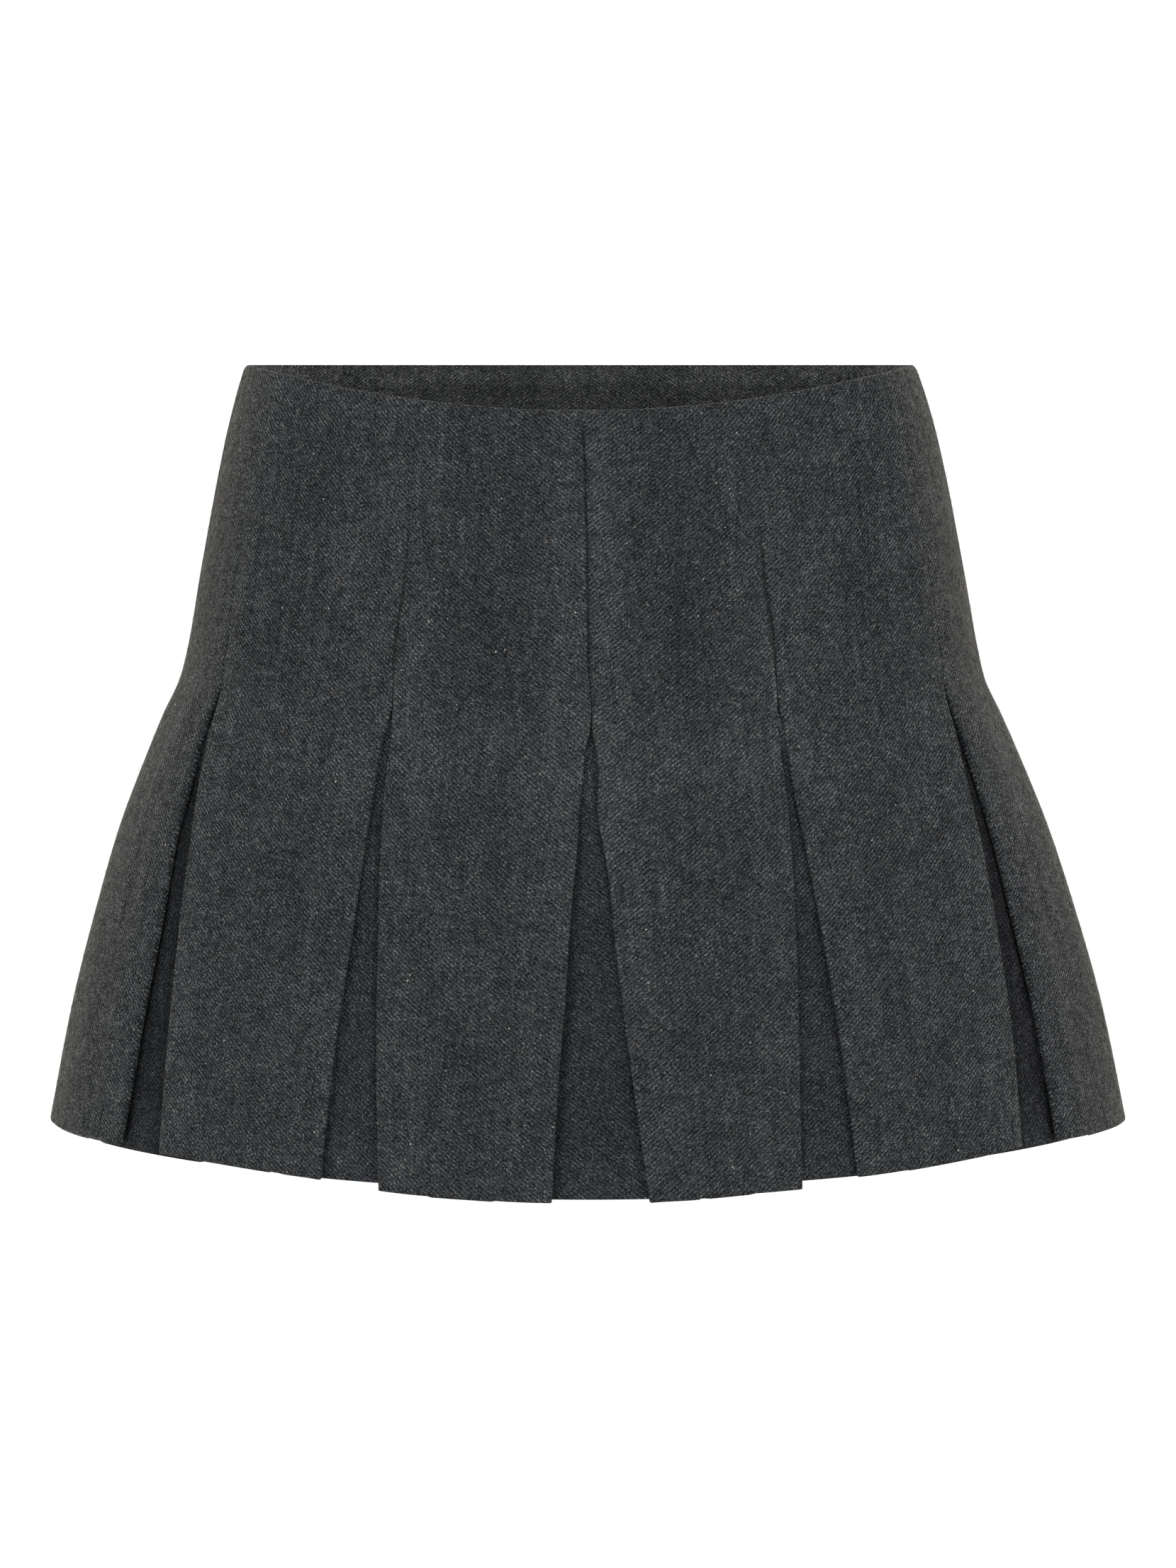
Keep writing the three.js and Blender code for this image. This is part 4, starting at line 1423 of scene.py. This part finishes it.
def stitch_tree():
    """Stitches in rows: the source's edges are the rows and "facing" points out of the cloth."""
    tree, inputs = geometry_tree("stitch_rows", {
        "Stitch Length": "Float", "Stitch Pitch": "Float", "Thread Radius": "Float",
        "Slant": "Float", "Seed": "Int", "Material": "Material",
    })
    rows = add(tree, "GeometryNodeMeshToCurve", {"Mesh": inputs["Geometry"]})
    places = add(tree, "GeometryNodeResampleCurve",
                 {"Curve": rows, "Length": inputs["Stitch Pitch"]}, mode="LENGTH")
    along = add(tree, "GeometryNodeInputTangent")
    facing = add(tree, "GeometryNodeInputNamedAttribute", {"Name": "facing"},
                 data_type="FLOAT_VECTOR")
    laid = add(tree, ALIGN, {"Vector": facing}, axis="Z")
    laid = add(tree, ALIGN, {"Rotation": laid, "Vector": along}, axis="X", pivot_axis="Z")
    seeds = [add(tree, MATH, (inputs["Seed"], choice), operation="ADD") for choice in (1.0, 2.0)]
    # The float sockets of a random value come after its vector sockets.
    wobble = add(tree, RANDOM, {2: -STITCH_WOBBLE, 3: STITCH_WOBBLE, "Seed": seeds[0]}, 1,
                 data_type="FLOAT")
    turn = add(tree, MATH, (wobble, inputs["Slant"]), operation="ADD")
    turn = add(tree, "ShaderNodeCombineXYZ", (0.0, 0.0, turn))
    turned = add(tree, ROTATE, {"Rotation": laid, "Rotate By": turn}, rotation_space="LOCAL")
    bend = []
    for lengths, radii in STITCH_SHAPE:
        x = add(tree, MATH, (inputs["Stitch Length"], lengths), operation="MULTIPLY")
        z = add(tree, MATH, (inputs["Thread Radius"], radii), operation="MULTIPLY")
        bend.append(add(tree, "ShaderNodeCombineXYZ", (x, 0.0, z)))
    stitch = bent_thread(tree, *bend, inputs["Thread Radius"], *STITCH_DETAIL)
    smallest, largest = STITCH_SIZES
    size = add(tree, RANDOM, {0: smallest, 1: largest, "Seed": seeds[1]},
               data_type="FLOAT_VECTOR")
    threaded = placed(tree, places, stitch, turned, size, inputs["Material"])
    add(tree, "NodeGroupOutput", (threaded,), None)
    return tree


def outer_face(name, grids):
    """The outer faces of some cloth grids as one mesh, to scatter things on."""
    points, faces, count = [], [], 0
    for grid in grids:
        outer = grid["middle"] + grid["normal"] * grid["half"][0][..., None]
        numbers = np.arange(outer[..., 0].size).reshape(outer.shape[:2]) + count
        seen = np.zeros_like(grid["present"])
        seen[:, EDGE_CELLS - 1:1 - EDGE_CELLS] = True
        faces.append(quads(numbers, seen))
        points.append(outer.reshape(-1, 3))
        count += outer[..., 0].size
    return mesh_object(name, np.concatenate(points) * MM, np.concatenate(faces))


def row_mesh(name, rows):
    """Rows of points as one mesh of edges, with the way that each point faces."""
    points, edges, facing = [], [], []
    for places, normals in rows:
        first = len(points)
        points += list(places * MM)
        facing += list(normals)
        edges += [(first + i, first + i + 1) for i in range(len(places) - 1)]
    mesh = bpy.data.meshes.new(name)
    mesh.from_pydata([tuple(p) for p in points], edges, [])
    layer = mesh.attributes.new("facing", "FLOAT_VECTOR", "POINT")
    layer.data.foreach_set("vector", np.array(facing).ravel())
    return in_scene(name, mesh)


def inner_line(grid, rows, columns):
    """A line on a grid's inner face, at whole or broken rows and columns."""
    inner = grid["middle"] - grid["normal"] * grid["half"][1][..., None]
    rows, columns = np.broadcast_arrays(np.asarray(rows, float), np.asarray(columns, float))
    r = np.clip(rows.astype(int), 0, inner.shape[0] - 2)
    c = np.clip(columns.astype(int), 0, inner.shape[1] - 2)
    fr, fc = (rows - r)[:, None], (columns - c)[:, None]

    def at(field):
        low = field[r, c] * (1 - fc) + field[r, c + 1] * fc
        high = field[r + 1, c] * (1 - fc) + field[r + 1, c + 1] * fc
        return low * (1 - fr) + high * fr

    return at(inner), -at(grid["normal"])


def row_at(grid, depth):
    """The broken row number at a depth below the top edge, or above the hem if it is below 0."""
    walked = arc_lengths(grid["middle"], 0)[:, grid["middle"].shape[1] // 2]
    depth = depth if depth >= 0 else walked[-1] + depth
    return np.interp(depth, walked, np.arange(len(walked)))


# Points along each row of stitches: across a panel at its waist, across the cloth at a hem or a
# top edge, and down an underlay's side.
WAIST_POINTS = 40
ACROSS_POINTS = 30
DOWN_POINTS = 60
# In millimetres: how far above its edge the waist turning is stitched, how far from the turned
# edges the hem stitches stop, how far from its ends an underlay's side seam starts and stops, how
# far below its edge its top is sewn and how wide its seam allowance is.
WAIST_ROW = 2
HEM_ROW_CLEAR = 2
SIDE_ENDS = 3
TOP_ROW = 4
SEAM_ALLOWANCE = 6.0
# Cells by which the waist row runs on past a panel's flat part, and those at which an underlay's
# rows stop before its edges.
WAIST_ROW_PAST = 4
UNDERLAY_ROW_CLEAR = 1.5


def panel_rows(grid, cloth):
    """Two rows inside a panel: on the waist turning and on the hem turning's edge."""
    last_flat = EDGE_CELLS + PANEL_CELLS
    whole_way = np.linspace(EDGE_CELLS - WAIST_ROW_PAST, last_flat + WAIST_ROW_PAST, WAIST_POINTS)
    waist = inner_line(grid, row_at(grid, cloth.waist_depth - WAIST_ROW), whole_way)
    hem_edge = grid["middle"][-1, EDGE_CELLS:last_flat + 1]
    width = np.linalg.norm(np.diff(hem_edge, axis=0), axis=1).mean()
    clear = (cloth.return_depth + HEM_ROW_CLEAR) / width
    between = np.linspace(EDGE_CELLS + clear, last_flat - clear, ACROSS_POINTS)
    return waist, inner_line(grid, row_at(grid, -cloth.hem_depth), between)


def underlay_rows(grid, cloth):
    """Rows inside an underlay: its two side seams, its top edge and its hem turning's edge."""
    down = np.linspace(row_at(grid, SIDE_ENDS), row_at(grid, -SIDE_ENDS), DOWN_POINTS)
    steps = np.linalg.norm(np.diff(grid["middle"], axis=1), axis=-1).mean(axis=1)
    seam = SEAM_ALLOWANCE / np.interp(down, np.arange(len(steps)), steps)
    sides = [inner_line(grid, down, line) for line in (seam, UNDERLAY_CELLS - seam)]
    across = np.linspace(UNDERLAY_ROW_CLEAR, UNDERLAY_CELLS - UNDERLAY_ROW_CLEAR, ACROSS_POINTS)
    top = inner_line(grid, row_at(grid, TOP_ROW), across)
    return [*sides, top], inner_line(grid, row_at(grid, -cloth.hem_depth), across)


# ---------------------------------------------------------------------------------------------
# Operators
# ---------------------------------------------------------------------------------------------

# How strongly the brushed nap of the panels catches light, and the unbrushed underlays' wool.
PANEL_SHEEN = 0.52
UNDERLAY_SHEEN = 0.03
PLAIN_TINT = (1.0, 1.0, 1.0)
# Painted cool light: the underlays are tinted slightly bluer, as the cloth deep in the pleats
# sees only cool light.
PLEAT_PAINTED_COOL_LIGHT = (0.98, 0.985, 1.035)


class SKIRT_OT_panels(Operator):
    """Builds the twelve panels that hang round the body, with their pressed folds"""

    bl_idname = "skirt.panels"
    bl_label = "Build the panels"

    def execute(self, context):
        twill = wool_twill("brushed_wool_flannel_twill", PANEL_SHEEN, PLAIN_TINT)
        hang_cloth("panel", panel_grids(), 0, twill)
        return {"FINISHED"}


class SKIRT_OT_underlays(Operator):
    """Builds the cloth at the back of each pleat"""

    bl_idname = "skirt.underlays"
    bl_label = "Build the pleat underlays"

    def execute(self, context):
        twill = wool_twill("unbrushed_wool_flannel_twill", UNDERLAY_SHEEN, PLEAT_PAINTED_COOL_LIGHT)
        hang_cloth("underlay", underlay_grids(), len(PLEATS), twill)
        return {"FINISHED"}


class SKIRT_OT_nap(Operator):
    """Scatters loose fibre ends and neps over the panels"""

    bl_idname = "skirt.nap"
    bl_label = "Scatter the nap"

    def execute(self, context):
        _, colours, twill, _ = settings()
        ground = outer_face("nap_ground", panel_grids().values())
        grow(ground, "wool_nap_and_neps", nap_tree(), {
            "Fibre Density": twill.fibre_density,
            "Fibre Length": twill.fibre_length,
            "Fibre Radius": twill.fibre_radius,
            "Nep Density": twill.nep_density,
            "Large Nep Density": twill.large_nep_density,
            "Nep Radius": twill.nep_radius,
            "Seed": twill.seed,
            "Fibre Material": loose_wool("loose_wool_fibres", colours.pale, colours.loose),
            "Nep Material": loose_wool("undyed_wool_neps", colours.loose, colours.fleck),
        })
        return {"FINISHED"}


class SKIRT_OT_stitches(Operator):
    """Sews the inside: seams, turned edges and hem"""

    bl_idname = "skirt.stitches"
    bl_label = "Sew the stitches"

    def execute(self, context):
        sizes, _, twill, _ = settings()
        cloth = cloth_in_mm()
        straight, slanted = [], []
        for grid in panel_grids().values():
            waist, hem = panel_rows(grid, cloth)
            straight.append(waist)
            slanted.append(hem)
        for grid in underlay_grids().values():
            seams, hem = underlay_rows(grid, cloth)
            straight += seams
            slanted.append(hem)
        thread, tree = sewing_thread(), stitch_tree()
        kinds = (
            ("lockstitch_seams", straight, sizes.stitch_pitch, 0.0),
            ("catch_stitched_hem", slanted, 2 * sizes.stitch_pitch, CATCH_SLANT),
        )
        for name, rows, pitch, slant in kinds:
            grow(row_mesh(name + "_rows", rows), name, tree, {
                "Stitch Length": sizes.stitch_length, "Stitch Pitch": pitch, "Slant": slant,
                "Thread Radius": sizes.thread_radius, "Seed": twill.seed, "Material": thread,
            })
        return {"FINISHED"}


# The stage, in metres: a round floor, the soft boxes (name, place, size and power) and the point
# that they are turned to, the glow of the walls, and the camera's sensor and range.
FLOOR_SIDES = 96
FLOOR_RADIUS = 40.0
SOFT_BOXES = (
    ("soft_box_left", (-1.9, -1.7, 0.55), 1.3, 14),
    ("soft_box_right", (1.9, -1.7, 0.55), 1.3, 14),
    ("soft_box_back", (0.3, 2.2, 1.1), 1.5, 12),
)
LIT_POINT = (0.0, 0.0, -0.17)
GLOW = 1.15
SENSOR_WIDTH = 36.0
CAMERA_RANGE = (0.05, 200.0)


def soft_light(name, place, size, power):
    """A square soft box turned towards the skirt."""
    light = bpy.data.lights.new(name, "AREA")
    light.shape = "SQUARE"
    light.size = size
    light.energy = power
    lamp = in_scene(name, light)
    lamp.location = place
    towards = np.array(LIT_POINT) - np.array(place)
    flat = math.hypot(towards[0], towards[1])
    lamp.rotation_euler = (math.atan2(flat, -towards[2]), 0, math.atan2(-towards[0], towards[1]))


class SKIRT_OT_stage(Operator):
    """Sets the floor, the soft light and the camera"""

    bl_idname = "skirt.stage"
    bl_label = "Set the stage"

    def execute(self, context):
        scene = context.scene
        stage = settings()[3]
        scene.view_settings.view_transform = "Standard"

        turns = [2 * math.pi * i / FLOOR_SIDES for i in range(FLOOR_SIDES)]
        ring = [(FLOOR_RADIUS * math.cos(turn), FLOOR_RADIUS * math.sin(turn), -stage.floor_drop)
                for turn in turns]
        floor = mesh_object("studio_floor", np.array(ring), np.array([range(FLOOR_SIDES)]))
        floor.data.materials.append(plain_floor())

        world = bpy.data.worlds.new("studio_light")
        world.use_nodes = True
        world.node_tree.nodes.clear()
        glow = add(world.node_tree, "ShaderNodeBackground",
                   {"Color": (1.0, 1.0, 1.0, 1.0), "Strength": GLOW})
        add(world.node_tree, "ShaderNodeOutputWorld", {"Surface": glow}, None)
        scene.world = world
        for soft_box in SOFT_BOXES:
            soft_light(*soft_box)

        lens = bpy.data.cameras.new("camera")
        lens.lens = stage.lens
        lens.sensor_width = SENSOR_WIDTH
        lens.clip_start, lens.clip_end = CAMERA_RANGE
        camera = in_scene("camera", lens)
        camera.location = (stage.sideways, -stage.distance, 0.0)
        camera.rotation_euler = (math.pi / 2 - stage.pitch, 0.0, 0.0)
        scene.camera = camera
        return {"FINISHED"}


class SKIRT_PT_panel(Panel):
    """Lists the skirt's settings and its parts"""

    bl_idname = "SKIRT_PT_panel"
    bl_label = "Pleated flannel skirt"
    bl_space_type = "VIEW_3D"
    bl_region_type = "UI"
    bl_category = "Skirt"

    def draw(self, context):
        for group in settings():
            box = self.layout.box()
            for name in own_names(group):
                box.prop(group, name)
        for operator in OPERATORS:
            self.layout.operator(operator.bl_idname)


OPERATORS = (SKIRT_OT_panels, SKIRT_OT_underlays, SKIRT_OT_nap, SKIRT_OT_stitches, SKIRT_OT_stage)
GROUPS = (
    ("skirt_cloth", SkirtClothSizes),
    ("skirt_colours", SkirtClothColours),
    ("skirt_twill", SkirtTwillSizes),
    ("skirt_stage", SkirtStageSizes),
)


def register():
    for name, group in GROUPS:
        bpy.utils.register_class(group)
        setattr(bpy.types.Scene, name, PointerProperty(type=group))
    for made in (*OPERATORS, SKIRT_PT_panel):
        bpy.utils.register_class(made)


def unregister():
    for made in reversed((*OPERATORS, SKIRT_PT_panel)):
        bpy.utils.unregister_class(made)
    for name, group in reversed(GROUPS):
        delattr(bpy.types.Scene, name)
        bpy.utils.unregister_class(group)


def main():
    register()
    bpy.ops.skirt.panels()
    bpy.ops.skirt.underlays()
    bpy.ops.skirt.nap()
    bpy.ops.skirt.stitches()
    bpy.ops.skirt.stage()


if __name__ == "__main__":
    main()
